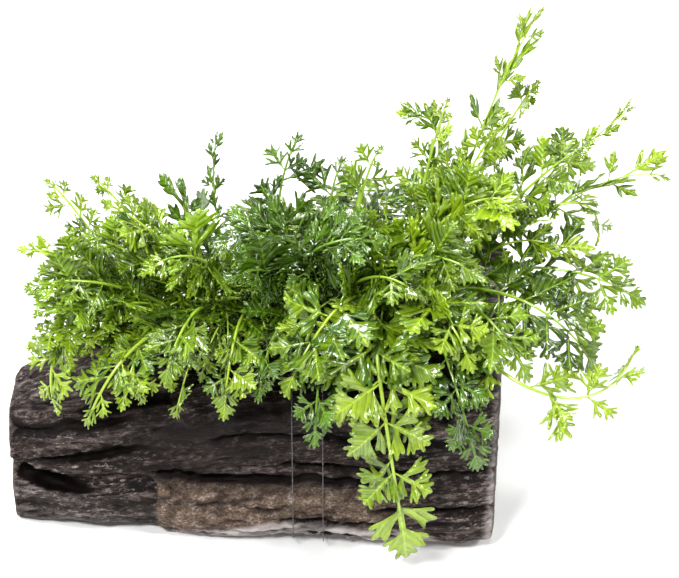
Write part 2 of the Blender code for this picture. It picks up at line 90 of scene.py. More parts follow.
# How a frond's leaflets are laid out along its stem, as in the model.
LEAFLET_FOOT = 0.7
END_LEAFLET_SHARE = 0.66
LEAFLET_TAPER = 0.28
BARE_SHARE = 0.36
LAST_PAIR_GAP = 0.22
FIRST_ANGLE = 64
ANGLE_DROP = 14
WIDTH_SHARE = 0.6
SHOULDER_SHARE = 0.52

Frond = namedtuple(
    "Frond", "name finish style root_x knee tip leaf pairs roll habit bend", defaults=("crowd", None)
)

# A frond leaves the rhizome at root_x, bends over below its knee and ends at its tip. leaf is the
# length of its longest leaflet, and roll turns its face about its own stem, in degrees. Younger
# stems grow beside a frond in the crowd, and behind an all_round one too, but not beside an open
# one. bend is the second control point of a stem that bends twice.
FROND_ROWS = (
    ("front_long", "lime", "broad", 38, (30, -40, 104), (46, -62, 9), 23, 5, 0),
    ("front_spread_left", "bright", "broad", 34, (26, -34, 98), (9, -47, 62), 21, 4, 0),
    ("front_spread_right", "bright", "broad", 42, (50, -28, 96), (64, -43, 68), 19, 3, 0),
    ("front_drop_left", "bright", "broad", 2, (-4, -34, 90), (-8, -47, 53), 14, 3, 0, "all_round"),
    ("front_drop_centre", "dark", "lobed", 12, (6, -30, 88), (2, -47, 60), 15, 3, 0, "all_round"),
    ("front_low_left", "dark", "lobed", 26, (20, -38, 86), (18, -51, 46), 15, 4, 0),
    ("front_low_right", "dark", "lobed", 50, (54, -40, 82), (66, -53, 38), 16, 4, 0),
    ("right_inner", "mid", "lobed", 48, (64, -26, 90), (81, -38, 60), 18, 4, 16),
    ("left_hang_outer", "lime", "fingered", -22, (-64, -32, 88), (-56, -42, 50), 12, 3, 0),
    ("left_hang_inner", "lime", "fingered", -14, (-34, -38, 86), (-48, -46, 49), 14, 4, 0),
    ("left_drop", "mid", "lobed", -8, (-16, -30, 92), (-25, -46, 65), 18, 4, 0, "all_round"),
    ("left_wall", "bright", "broad", -28, (-30, -32, 84), (-37, -47, 57), 14, 3, 0),
    ("left_corner", "bright", "lobed", -38, (-50, -30, 80), (-64, -36, 71), 13, 3, -20),
    ("left_low", "mid", "lobed", -32, (-46, -26, 86), (-62, -31, 79), 14, 3, -24),
    ("left_reach", "mid", "lobed", -24, (-44, -20, 90), (-65, -24, 83), 16, 4, -32),
    ("left_far", "bright", "lobed", -30, (-46, -8, 86), (-68, -12, 89), 13, 3, -32),
    ("left_shoulder", "mid", "lobed", -18, (-30, -12, 88), (-49, -9, 92), 15, 3, -30, "all_round"),
    ("left_crest", "bright", "lobed", -12, (-24, -4, 90), (-44, -2, 99), 17, 4, -15, "all_round"),
    ("left_sprig_outer", "bright", "fingered", -34, (-44, 4, 82), (-62, 14, 96), 10, 3, 0),
    ("left_sprig_inner", "bright", "fingered", -20, (-32, 6, 86), (-48, 11, 99), 10, 3, 0),
    ("top_grey", "dark", "slender", -10, (-18, 10, 84), (-27, 18, 95), 10, 3, 0, "open"),
    ("top_thin", "dark", "slender", -4, (-16, 18, 84), (-11, 28, 103), 6, 3, 0, "open"),
    ("top_spray", "dark", "fingered", 8, (2, 14, 86), (14, 22, 107), 16, 3, 0),
    ("top_centre", "dark", "fingered", 20, (19, 10, 88), (27, 17, 102), 16, 3, 0),
    ("top_umbel", "mid", "fingered", 28, (30, 6, 90), (38, 12, 109), 14, 3, 0),
    ("top_curl", "lime", "slender", 48, (64, 34, 116), (45, 36, 100), 9, 3, 0, "open"),
    ("top_tuft", "lime", "fingered", 44, (50, 20, 96), (58, 30, 114), 11, 3, 0),
    ("top_tall", "lime", "slender", 50, (64, 18, 112), (84, 30, 145), 14, 4, 0, "open"),
    ("top_inner", "bright", "lobed", 46, (58, 6, 96), (72, 12, 116), 14, 3, 0),
    ("top_right", "bright", "lobed", 54, (70, 28, 98), (85, 36, 116), 13, 3, 0, "open"),
    ("right_high", "mid", "broad", 52, (80, 6, 102), (99, 8, 113), 18, 4, 20, "open"),
    ("right_thin", "lime", "slender", 57, (90, 24, 92), (113, 28, 112), 9, 3, 0, "open"),
    ("right_far", "lime", "slender", 55, (104, 22, 108), (126, 24, 88), 14, 3, 20, "open"),
    ("right_hang", "bright", "fingered", 56, (104, 6, 118), (102, 2, 79), 11, 3, 0, "open"),
    ("right_wiry", "bright", "slender", 54, (78, -4, 98), (97, -8, 79), 11, 3, 25, "open"),
    ("right_reach", "mid", "lobed", 56, (86, -10, 90), (116, -15, 71), 20, 4, 30, "open"),
    ("right_broad", "mid", "broad", 52, (84, -22, 92), (102, -28, 55), 20, 4, 24, "open"),
    ("right_low", "lime", "fingered", 58, (68, -56, 80), (112, -26, 65), 16, 4, 20, "open", (102, -44, 42)),
    ("centre_left", "mid", "lobed", -6, (-14, -8, 98), (-34, -16, 84), 20, 4, -32, "all_round"),
    ("centre", "dark", "lobed", 22, (12, -8, 102), (-12, -14, 91), 20, 4, -32, "all_round"),
    ("centre_low", "dark", "lobed", 16, (8, -16, 92), (-8, -24, 86), 19, 3, -32, "all_round"),
    ("centre_front", "mid", "lobed", 20, (34, -20, 94), (50, -30, 84), 19, 3, 30),
    ("centre_right", "dark", "lobed", 6, (16, -6, 102), (40, -12, 91), 20, 4, 32, "all_round"),
    ("centre_far_right", "mid", "lobed", 30, (44, -14, 100), (68, -24, 86), 20, 4, 32),
    ("crown_right", "bright", "lobed", 42, (58, 0, 108), (80, -4, 98), 18, 4, 30),
    ("back_left", "mid", "lobed", -36, (-46, 20, 76), (-54, 38, 36), 17, 3, 0),
    ("back_centre_left", "dark", "lobed", -16, (-22, 34, 80), (-24, 54, 32), 19, 3, 0),
    ("back_centre", "mid", "lobed", 6, (4, 42, 84), (4, 64, 34), 20, 3, 0),
    ("back_centre_right", "mid", "lobed", 30, (32, 48, 88), (34, 74, 38), 21, 3, 0),
    ("back_right", "bright", "lobed", 52, (66, 50, 88), (72, 78, 42), 20, 3, 0),
)
FRONDS = tuple(Frond("frond_" + name, "leaf_" + finish, *row) for name, finish, *row in FROND_ROWS)

# Ways aside that a stem or a leaflet may have taken in the model.
ROOT_SHIFTS = (0.0, 2.2, -2.2, 4.4, -4.4, 6.6, -6.6)
KNEE_LIFTS = (0.0, 5.0, -5.0, 10.0)
KNEE_SWAYS = (0.0, 5.0, -5.0, 10.0, -10.0)
TIP_LEANS = (0.0, 2.5, -2.5, 5.0, -5.0)
LEAFLET_TILTS = (0.0, 14.0, -14.0, 28.0, -28.0, 42.0, -42.0, 56.0, -56.0, 70.0)
LEAFLET_SHARES = (1.0, 0.82, 0.66, 0.5)

# How near, in millimetres, the model's points have to be to a stem's ends and a leaflet's corners.
STEM_MATCH = 1.6
LEAFLET_MATCH = 0.45

# A leaflet's shape, as shares of its length. It has two pairs of lobes with their feet on the
# midrib, at angles in degrees from it, and an end lobe. Each lobe has this many teeth. cut is how
# deep the gaps between them are, blunt is how wide their tips are, web is the half width of the
# blade along the midrib, and smooth is whether corners are rounded.
Style = namedtuple("Style", "feet angles reaches widths end_reach end_width teeth cut blunt web smooth")
STYLES = {
    "broad": Style((0.22, 0.50), (56, 42), (0.50, 0.38), (0.31, 0.26),
                   0.40, 0.30, 3, 0.20, 0.16, 0.040, True),
    "lobed": Style((0.22, 0.50), (54, 40), (0.50, 0.38), (0.29, 0.25),
                   0.42, 0.28, 3, 0.22, 0.13, 0.040, False),
    "fingered": Style((0.26, 0.54), (40, 28), (0.50, 0.40), (0.20, 0.18),
                      0.46, 0.19, 2, 0.32, 0.20, 0.042, True),
    "slender": Style((0.30, 0.54), (26, 18), (0.42, 0.34), (0.09, 0.08),
                     0.54, 0.13, 1, 0, 0, 0.020, False),
}
VARIATIONS = 6
STALK_HALF_WIDTH = 0.014
SAME_POINT = 1e-7

# Half the thickness of a blade, in millimetres, and how much wider leaflets are than in the model.
BLADE_HALF_THICK = 0.14
SPREAD = 1.3

# A frond's tone is between these, and its end leaflet and its young stems are lighter.
FROND_TONES = (0.04, 0.44)
END_LEAFLET_LIGHTER = 0.3
YOUNG_LIGHTER = 0.1

# Fronds that are darker than their slot's colours, as a share of the way to the dark one.
SHADED = {"frond_front_spread_left": 0.35, "frond_front_drop_left": 0.20, "frond_right_broad": 0.15}

# Extra leaflets: how far apart they are as a share of the leaf, how far they stand off the stem
# and how far they turn about it, in degrees.
CROWD_SPACING = 0.46
OPEN_SPACING = 0.70
LEAFLET_ANGLES = (42, 66)
SLENDER_ANGLES = (10, 24)
CROWD_TILT = 75
OPEN_TILT = 40

# Where along a stem, as a share, they start, and how much of it stays bare below the end leaflet.
EXTRA_FROM = 0.12
SLENDER_FROM = 0.30
YOUNG_FROM = 0.20
BARE_END = 0.04

# Their size against the frond's own. Those of slender sprigs are longer and lie along their stems.
CROWD_SCALE = 1.12
OPEN_SCALE = 0.90
SLENDER_GROWTH = 1.9

# How far, in millimetres, extra growth stays off the wood and inside the model's box.
CLEARANCE = 1.0

# Younger stems beside a frond: how far round they turn, in degrees, and their length as a share.
CROWD_STEMS = ((24, 0.72), (-24, 0.66), (58, 0.48), (-62, 0.45))
YOUNG_STEMS = {
    "crowd": CROWD_STEMS,
    "all_round": (*CROWD_STEMS, (125, 0.45), (-130, 0.42), (175, 0.5)),
    "open": (),
}

# Where along a younger stem it is tried for room.
CLEAR_AT = (0.3, 0.5, 0.75, 0.9, 1.0)

# Stems: their radii in millimetres, and the shares by which some are thicker or thinner.
STEM_RADIUS = 0.70
STEM_TIP_RADIUS = 0.30
THICK_STEMS = {"frond_front_long": 1.4, "frond_left_hang_inner": 1.2, "frond_left_hang_outer": 1.2}
THIN_STEM = 0.7
STEM_SIDES = 8
STEM_RINGS = 28
LENGTH_STEPS = 24

# A stem starts this share of the way into the rhizome, swells there, and has a groove along it.
STEM_HEEL = 0.35
HEEL_RADIUS = 1.35
STEM_SWELL = 0.6
SWELL_LENGTH = 0.07
STEM_GROOVE = 0.82

# How much of the end leaflet its stem runs into, as a share.
STEM_OVERLAP = 0.3

# Driftwood surface, in millimetres.
WOOD_WELD = 0.01
WOOD_VOXEL = 0.85
WOOD_SMOOTHING = 12

# The carving fades out between these heights, so the underside stays flat.
CARVED_FROM = (0.4, 3.0)

# The driftwood's grain climbs to the right by this angle, in radians.
WOOD_GRAIN_TILT = 0.14

# Where the heart of the log is, in millimetres, and how far apart its rings are.
WOOD_HEART = (0.0, 12.0, 18.0)
WOOD_RING = 1.9

# Base colours.
WOOD_DARK = (0.0040, 0.0018, 0.0014)
WOOD_MID = (0.062, 0.042, 0.035)
WOOD_GREY = (0.150, 0.116, 0.106)
WOOD_PALE = (0.270, 0.225, 0.212)
WOOD_BROWN = (0.150, 0.102, 0.070)
WOOD_CRUMB = (0.350, 0.285, 0.255)
WOOD_REFLECTION = (0.500, 0.458, 0.444)
# Each leaf slot runs from its dark to its light colour. leaf_dark is partly painted shade: its fronds in the
# crown are darker for the shade there as well as for their own deeper green.
LEAF_COLOURS = {
    "leaf_dark": ((0.006, 0.024, 0.001), (0.170, 0.350, 0.010)),
    "leaf_mid": ((0.022, 0.070, 0.001), (0.400, 0.630, 0.018)),
    "leaf_bright": ((0.040, 0.130, 0.001), (0.520, 0.740, 0.022)),
    "leaf_lime": ((0.060, 0.170, 0.002), (0.500, 0.690, 0.035)),
}
STEM_GREEN = (0.26, 0.40, 0.06)
RHIZOME_DARK = (0.030, 0.022, 0.010)
RHIZOME_GREEN = (0.105, 0.115, 0.030)
SCALE_BROWN = (0.090, 0.045, 0.018)
ROOT_DARK = (0.022, 0.012, 0.008)
ROOT_BROWN = (0.085, 0.052, 0.030)
THREAD_DARK = (0.050, 0.044, 0.046)
THREAD_PALE = (0.150, 0.136, 0.140)
FLOOR_GREY = (0.92, 0.92, 0.92)
FLOOR_PALE = (0.95, 0.95, 0.95)

# A leaf's pleats, in radians along its length, and how much light shines through it.
PLEATS = 62.0
FINE_PLEATS = 150.0
SHINE_THROUGH = 0.25

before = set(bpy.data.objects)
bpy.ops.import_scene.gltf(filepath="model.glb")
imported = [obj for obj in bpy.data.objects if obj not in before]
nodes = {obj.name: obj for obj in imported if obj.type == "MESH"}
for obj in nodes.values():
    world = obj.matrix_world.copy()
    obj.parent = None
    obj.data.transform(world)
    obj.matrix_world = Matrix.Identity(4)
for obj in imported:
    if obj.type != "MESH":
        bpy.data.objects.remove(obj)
cad_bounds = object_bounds()
finishes = {}


def clamped(value):
    return max(0.0, min(1.0, value))


def ramp(value, start, end):
    """A smooth step from 0 at start to 1 at end."""
    share = clamped((value - start) / (end - start))
    return share * share * (3 - 2 * share)


def round_about(side, up, angle):
    """The unit vector at this angle from side toward up."""
    return side * math.cos(angle) + up * math.sin(angle)


def tube_faces(rings, sides):
    """The faces of a tube made of rings of points, with a flat face at each end."""
    faces = []
    for i in range(rings - 1):
        for k in range(sides):
            a, b = i * sides + k, i * sides + (k + 1) % sides
            faces.append((a, b, b + sides, a + sides))
    faces.append(tuple(range(sides))[::-1])
    faces.append(tuple(range((rings - 1) * sides, rings * sides)))
    return faces


def add_mesh(name, points, faces, node, slot, rough_faces=(), **attributes):
    """A mesh piece in place of a CAD node. Points are in metres, and rough_faces are shaded flat."""
    mesh = bpy.data.meshes.new(name)
    mesh.from_pydata([tuple(p) for p in points], [], faces)
    smooth = np.ones(len(faces), bool)
    smooth[list(rough_faces)] = False
    mesh.polygons.foreach_set("use_smooth", smooth)
    for key, values in attributes.items():
        layer = mesh.attributes.new(key, "FLOAT", "POINT")
        layer.data.foreach_set("value", np.asarray(values, np.float32))
    mesh.update()
    obj = bpy.data.objects.new(name, mesh)
    bpy.context.scene.collection.objects.link(obj)
    obj.data.materials.append(finishes[slot])
    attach(obj, "root")
    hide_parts(node)


# Materials.

class Nodes:
    """A material's node tree, with short ways to add to it."""

    def __init__(self, name):
        finishes[name] = bpy.data.materials.new(name + "_finish")
        finishes[name].use_nodes = True
        self.tree = finishes[name].node_tree
        self.shader = self.tree.nodes["Principled BSDF"]
        self.output = self.tree.nodes["Material Output"]

    def plug(self, node, values):
        """Gives a node's sockets their numbers, their colours or the outputs of other nodes."""
        for key, value in values.items():
            socket = node.inputs[key]
            if isinstance(value, bpy.types.NodeSocket):
                self.tree.links.new(value, socket)
            elif socket.type == "RGBA":
                socket.default_value = (*value, 1.0)
            else:
                socket.default_value = value

    def add(self, kind, values, output=0, **settings):
        """Adds a node and returns one of its outputs."""
        node = self.tree.nodes.new(kind)
        for key, value in settings.items():
            setattr(node, key, value)
        self.plug(node, values)
        return node.outputs[output]

    def attribute(self, name):
        return self.add("ShaderNodeAttribute", {}, "Fac", attribute_name=name)

    def turned(self, angle):
        """The object's coordinates, turned about the Y axis."""
        place = self.add("ShaderNodeTexCoord", {}, "Object")
        return self.add("ShaderNodeMapping", {"Vector": place, "Rotation": (0.0, angle, 0.0)})

    def noise(self, scale, stretch=(1, 1, 1), detail=4.0, roughness=0.55, place=None):
        stretched = self.add("ShaderNodeMapping", {"Vector": place or self.turned(0.0), "Scale": stretch})
        values = {"Vector": stretched, "Scale": scale, "Detail": detail, "Roughness": roughness}
        return self.add("ShaderNodeTexNoise", values, "Fac")

    def spread(self, value, low, high, to_low=0.0, to_high=1.0):
        values = {"Value": value, "From Min": low, "From Max": high, "To Min": to_low, "To Max": to_high}
        return self.add("ShaderNodeMapRange", values, interpolation_type="SMOOTHSTEP")

    def maths(self, operation, a, b=0.0):
        return self.add("ShaderNodeMath", {0: a, 1: b}, operation=operation)

    def plus(self, a, b):
        return self.maths("ADD", a, b)

    def times(self, a, b):
        return self.maths("MULTIPLY", a, b)

    def mix(self, share, a, b):
        return self.add("ShaderNodeMix", {0: share, 6: a, 7: b}, 2, data_type="RGBA")

    def bump(self, height, strength, distance, below=None):
        values = {"Height": height, "Strength": strength, "Distance": distance * MM}
        if below:
            values["Normal"] = below
        return self.add("ShaderNodeBump", values)

    def set(self, **values):
        """Gives the shader its values. An underscore stands for a space in a socket's name."""
        self.plug(self.shader, {key.replace("_", " "): value for key, value in values.items()})


def leaf_material(slot):
    """Wet, thin green leaf: pleated toward its teeth, with painted shade in the pleats' grooves and painted
    light on their ridges, paler along its veins, and light shines through.
    """
    dark, light = LEAF_COLOURS[slot]
    n = Nodes(slot)
    mottle = n.spread(n.noise(260.0, detail=3.0), 0.3, 0.7)
    # tone holds each frond's and leaflet's own tone, with painted shade on leaflets near a stem's foot and
    # on SHADED fronds.
    share = n.plus(n.times(mottle, 0.3), n.times(n.attribute("tone"), 0.7))
    aside = n.maths("ABSOLUTE", n.attribute("beside"))
    slant = n.maths("SUBTRACT", n.times(n.attribute("ahead"), 0.7), n.times(aside, 0.8))
    slant = n.plus(slant, n.times(n.noise(160.0, detail=1.0), 0.05))
    pleats = n.maths("COSINE", n.times(slant, PLEATS))
    fine_pleats = n.maths("COSINE", n.times(slant, FINE_PLEATS))
    # Painted shade and light: darker in the grooves of the pleats and lighter on their ridges.
    share = n.plus(share, n.times(pleats, 0.09))
    blade = n.mix(share, dark, light)
    vein = n.spread(aside, 0.006, 0.018, 1.0, 0.0)
    pale = tuple(min(1.0, c * 1.4 + 0.02) for c in light)
    veined = n.mix(n.times(vein, 0.45), blade, pale)
    stem_colour = tuple(0.5 * a + 0.5 * b for a, b in zip(pale, STEM_GREEN))
    coloured = n.mix(n.attribute("stem"), veined, stem_colour)
    rough = n.spread(n.noise(420.0), 0.3, 0.7, 0.10, 0.30)
    relief = n.bump(pleats, 0.8, 0.18)
    relief = n.bump(fine_pleats, 0.8, 0.05, relief)
    relief = n.bump(n.noise(900.0, detail=2.0), 0.25, 0.12, relief)
    n.set(Base_Color=coloured, Roughness=rough, Normal=relief, Specular_IOR_Level=1.0,
          Coat_Weight=0.6, Coat_Roughness=0.07)
    lit = n.mix(0.25, coloured, tuple(1.4 * c for c in light))
    glow = n.add("ShaderNodeBsdfTranslucent", {"Color": lit})
    both = n.add("ShaderNodeMixShader", {0: SHINE_THROUGH, 1: n.shader.outputs["BSDF"], 2: glow})
    n.plug(n.output, {"Surface": both})


def end_grain(n):
    """Across the grain: rings round the heart of the log, and cracks that run out from it."""
    moved = tuple(-c * MM for c in WOOD_HEART)
    values = {"Vector": n.turned(0.0), "Location": moved, "Scale": (0.0, 1.0, 1.0)}
    from_heart = n.add("ShaderNodeMapping", values)
    far = n.add("ShaderNodeVectorMath", {0: from_heart}, "Value", operation="LENGTH")
    way = n.add("ShaderNodeVectorMath", {0: from_heart}, operation="NORMALIZE")
    wander = n.times(n.noise(45.0, (0.0, 1.0, 1.0), 3.0), 16.0)
    turns = n.plus(n.times(far, math.tau / (WOOD_RING * MM)), wander)
    rings = n.spread(n.maths("COSINE", turns), -1.0, 1.0)
    off_check = n.maths("SUBTRACT", n.noise(3.2, detail=3.0, place=way), 0.5)
    checks = n.spread(n.maths("ABSOLUTE", off_check), 0.002, 0.010, 1.0, 0.0)
    return rings, checks


def wood_material():
    """Long soaked wood, flecked grey: near black in its pits and splits, with painted shade in its cracks,
    its hollows and under the leaves, and painted pale as a reflection at its foot, its left ledge and its
    right end.
    """
    n = Nodes("driftwood")
    grain = n.turned(WOOD_GRAIN_TILT)
    bands = n.noise(130.0, (0.10, 1.0, 1.0), 5.0, 0.6, grain)
    strands = n.noise(430.0, (0.12, 1.0, 1.0), 4.0, 0.6, grain)
    grit = n.noise(900.0, (0.45, 1.0, 1.0), 4.0, 0.75, grain)
    crumbs = n.noise(1250.0, (0.8, 1.0, 1.0), 3.0, 0.75, grain)
    patches = n.noise(45.0, (0.5, 1.0, 1.0), 3.0)
    off_split = n.maths("ABSOLUTE", n.maths("SUBTRACT", strands, 0.5))
    split = n.spread(off_split, 0.0, 0.03, 1.0, 0.0)
    pits = n.spread(grit, 0.38, 0.49, 1.0, 0.0)
    colour = n.mix(n.spread(bands, 0.36, 0.64), WOOD_DARK, WOOD_MID)
    colour = n.mix(n.times(n.spread(strands, 0.46, 0.66), 0.6), colour, WOOD_GREY)
    flecks = n.times(n.spread(grit, 0.53, 0.64), n.spread(patches, 0.32, 0.62, 0.35, 1.0))
    colour = n.mix(flecks, colour, WOOD_PALE)
    lumps = n.noise(420.0, (0.8, 1.0, 1.0), 2.0, 0.5, grain)
    crumbs = n.plus(n.times(crumbs, 0.6), n.times(lumps, 0.4))
    brown = n.mix(n.spread(crumbs, 0.42, 0.50), WOOD_MID, WOOD_BROWN)
    brown = n.mix(n.spread(crumbs, 0.53, 0.62), brown, WOOD_CRUMB)
    colour = n.mix(n.attribute("speckle"), colour, brown)
    # Painted reflection: pale where the floor and backdrop would reflect, at the foot, the left ledge and
    # the right end.
    worn = n.mix(n.spread(strands, 0.34, 0.60), WOOD_PALE, WOOD_REFLECTION)
    colour = n.mix(n.attribute("worn"), colour, worn)
    covered = n.maths("MAXIMUM", n.attribute("worn"), n.times(n.attribute("speckle"), 0.6))
    uncovered = n.maths("SUBTRACT", 1.0, covered)
    colour = n.mix(n.times(n.maths("MAXIMUM", split, pits), uncovered), colour, WOOD_DARK)
    # Painted shade: near black in the cracks, the hollows and under the leaves.
    colour = n.mix(n.attribute("cavity"), colour, WOOD_DARK)
    rough = n.spread(grit, 0.3, 0.7, 0.40, 0.80)
    rings, checks = end_grain(n)
    sawn = n.attribute("sawn")
    face = n.mix(n.times(rings, 0.7), WOOD_MID, WOOD_GREY)
    face = n.mix(n.times(flecks, 0.4), face, WOOD_PALE)
    face = n.mix(n.times(checks, 0.8), face, WOOD_DARK)
    colour = n.mix(n.times(sawn, 0.6), colour, face)
    relief = n.bump(n.times(rings, sawn), 0.3, 0.25)
    relief = n.bump(strands, 0.9, 0.7, relief)
    relief = n.bump(grit, 0.9, 0.45, relief)
    relief = n.bump(crumbs, 0.6, 0.2, relief)
    n.set(Base_Color=colour, Roughness=rough, Normal=relief, Specular_IOR_Level=0.14)


def rhizome_material():
    n = Nodes("rhizome")
    scales = n.spread(n.noise(380.0, (0.6, 1.0, 1.0)), 0.35, 0.65)
    colour = n.mix(scales, RHIZOME_DARK, RHIZOME_GREEN)
    colour = n.mix(n.times(n.attribute("scale"), 0.8), colour, SCALE_BROWN)
    rough = n.spread(scales, 0.0, 1.0, 0.45, 0.7)
    n.set(Base_Color=colour, Roughness=rough, Normal=n.bump(scales, 0.7, 0.3))


def root_material():
    n = Nodes("root")
    streaks = n.noise(700.0, (0.5, 1.0, 1.0))
    colour = n.mix(n.spread(streaks, 0.35, 0.65), ROOT_DARK, ROOT_BROWN)
    n.set(Base_Color=colour, Roughness=0.68, Normal=n.bump(streaks, 0.6, 0.15))


def thread_material():
    n = Nodes("thread")
    twist = n.noise(2600.0, (1.0, 0.4, 0.4), 2.0)
    colour = n.mix(n.spread(twist, 0.35, 0.65), THREAD_DARK, THREAD_PALE)
    n.set(Base_Color=colour, Roughness=0.5, Normal=n.bump(twist, 0.5, 0.1))


def floor_material():
    n = Nodes("floor")
    tone = n.spread(n.noise(6.0), 0.3, 0.7)
    n.set(Base_Color=n.mix(tone, FLOOR_GREY, FLOOR_PALE), Roughness=0.6)


# Where the model put each frond.

class WoodTop:
    """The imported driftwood's skin, for finding what lies on it."""

    def __init__(self):
        mesh = nodes["driftwood"].data
        points = [v.co.copy() for v in mesh.vertices]
        self.tree = BVHTree.FromPolygons(points, [tuple(p.vertices) for p in mesh.polygons])
        self.centres = {}

    def top(self, x, y):
        """The wood's highest point near x and y, in millimetres."""
        heights = []
        for dx, dy in product((-2.0, 0.0, 2.0), repeat=2):
            start = Vector((x + dx, y + dy, 300.0)) * MM
            hit = self.tree.ray_cast(start, -UP)[0]
            if hit:
                heights.append(hit.z / MM)
        return max(heights)

    def rhizome_centre(self, x):
        if x not in self.centres:
            first, last = RHIZOME_PATH[0][0], RHIZOME_PATH[-1][0]
            y = along([(*p, 0.0) for p in RHIZOME_PATH], (x - first) / (last - first)).y
            high = max(self.top(x + dx, y) for dx in (-3.0, 0.0, 3.0))
            self.centres[x] = Vector((x, y, high + RHIZOME_RADIUS + GAP)) * MM
        return self.centres[x]


def along(path, share):
    """A point on the smooth path through the given points, at share of its length."""
    spans = len(path) - 1
    place = min(share * spans, spans - 1e-6)
    i = int(place)
    t = place - i
    p = [Vector(path[max(0, min(spans, i + k))]) for k in (-1, 0, 1, 2)]
    return 0.5 * (
        2 * p[1]
        + (p[2] - p[0]) * t
        + (2 * p[0] - 5 * p[1] + 4 * p[2] - p[3]) * t * t
        + (3 * p[1] - p[0] - 3 * p[2] + p[3]) * t ** 3
    )


class Spine:
    """The arching line of a frond, in metres, with its tangent and its side direction."""

    def __init__(self, frond, centre, lift, sway, lean):
        tip = Vector(frond.tip) * MM
        knee = Vector(frond.knee) * MM
        flat = Vector((tip.x - centre.x, tip.y - centre.y, 0)).normalized()
        self.side = Vector((flat.y, -flat.x, 0))
        knee += Vector((0, 0, lift * MM)) + self.side * sway * MM
        tip += self.side * lean * MM
        start = (knee - centre).normalized()
        outward = Vector((0, start.y, start.z)).normalized()
        self.centre = centre
        self.root = centre + outward * (RHIZOME_RADIUS + GAP + 0.9 * abs(start.x)) * MM
        self.knee = knee if frond.bend else self.root.lerp(knee, 2 / 3)
        self.bend = Vector(frond.bend) * MM if frond.bend else tip.lerp(knee, 2 / 3)
        self.tip = tip
        self.roll = math.radians(frond.roll)

    def point(self, t):
        u = 1 - t
        near = self.root * u ** 3 + self.knee * 3 * u * u * t
        return near + self.bend * 3 * u * t * t + self.tip * t ** 3

    def tangent(self, t):
        u = 1 - t
        near = (self.knee - self.root) * u * u + (self.bend - self.knee) * 2 * u * t
        return (near + (self.tip - self.bend) * t * t).normalized()

    def across(self, t):
        """The unit vector to the right of the stem, in the plane of the blade."""
        along_stem = self.tangent(t)
        flat = (self.side - along_stem * self.side.dot(along_stem)).normalized()
        return Matrix.Rotation(self.roll, 3, along_stem) @ flat

    def length(self):
        steps = [self.point(i / LENGTH_STEPS) for i in range(LENGTH_STEPS + 1)]
        return sum((steps[i + 1] - steps[i]).length for i in range(LENGTH_STEPS))

    def turned(self, turn, share):
        """Another line from the same root, turned round the vertical and shorter."""
        about = Matrix.Rotation(turn, 3, "Z")
        other = copy.copy(self)
        other.side = about @ self.side
        for key in ("knee", "bend", "tip"):
            setattr(other, key, self.root + about @ (getattr(self, key) - self.root) * share)
        return other


def leaflet_places(frond, spine):
    """Each pair's place, angle and length, where the end leaflet starts, and the space between pairs."""
    length = spine.length() / MM
    blade_end = 1 - END_LEAFLET_SHARE * frond.leaf / length
    last = blade_end - LAST_PAIR_GAP * frond.leaf / length
    first = min(BARE_SHARE, last - 0.2)
    places = []
    for k in range(frond.pairs):
        share = k / (frond.pairs - 1)
        t = first + (last - first) * share
        angle = math.radians(FIRST_ANGLE - ANGLE_DROP * share)
        size = frond.leaf * (0.86 + 0.14 * math.sin(math.pi * min(1, share * 1.6)) - LEAFLET_TAPER * share)
        places.append((t, angle, size))
    spacing = (last - first) * length / (frond.pairs - 1)
    return places, blade_end, spacing


def leaflet_corners(spine, t, angle, size, width, side, tilt):
    """The left shoulder, tip and right shoulder of a leaflet on one side of the stem."""
    stem = spine.tangent(t)
    turn = Matrix.Rotation(math.radians(-tilt * side), 3, stem)
    out = turn @ spine.across(t) * side
    axis = stem * math.cos(angle) + out * math.sin(angle)
    flat = stem * math.sin(angle) - out * math.cos(angle)
    foot = spine.point(t)
    middle = foot + axis * size * SHOULDER_SHARE * MM
    half = flat * width / 2 * MM
    return middle - half, foot + axis * size * MM, middle + half


def farthest(points, tree):
    """How far, in mm, the worst placed of these points is from any point of the tree."""
    return max(tree.find(p)[2] for p in points) / MM


def found_spine(frond, wood, tree):
    """The way that this frond's stem took in the model."""
    best = None
    for lean, sway, lift, shift in product(TIP_LEANS, KNEE_SWAYS, KNEE_LIFTS, ROOT_SHIFTS):
        spine = Spine(frond, wood.rhizome_centre(frond.root_x + shift), lift, sway, lean)
        if farthest((spine.tip, spine.root), tree) > STEM_MATCH:
            continue
        places, blade_end, _ = leaflet_places(frond, spine)
        half_foot = LEAFLET_FOOT / 2 * MM / spine.length()
        rows = [place[0] + off for place in places for off in (-half_foot, half_foot)]
        miss = farthest([spine.point(t) for t in (*rows, blade_end)], tree)
        if best is None or miss < best[0]:
            best = (miss, spine)
    return best[1]


def found_leaflets(frond, spine, tree):
    """Each leaflet that the model has: its place, length in mm and corners. Also where they end."""
    places, blade_end, spacing = leaflet_places(frond, spine)
    found = []
    for t, angle, size in places:
        width = min(WIDTH_SHARE * size, 0.9 * spacing * math.sin(angle))
        for side in (-1, 1):
            tries = []
            for share, tilt in product(LEAFLET_SHARES, LEAFLET_TILTS):
                corners = leaflet_corners(spine, t, angle, size * share, width * share, side, tilt)
                tries.append((farthest(corners, tree), -share, abs(tilt), corners))
            miss, _, _, corners = min(tries)
            if miss < LEAFLET_MATCH:
                found.append((t, (corners[1] - spine.point(t)).length / MM, corners))
    return found, blade_end


# Leaflet shapes.

class Lobe(namedtuple("Lobe", "foot angle side length width")):
    """A lobe of a leaflet: its foot, its angle from the midrib, its side and its size."""

    def ahead(self):
        return Vector((math.cos(self.angle), self.side * math.sin(self.angle)))


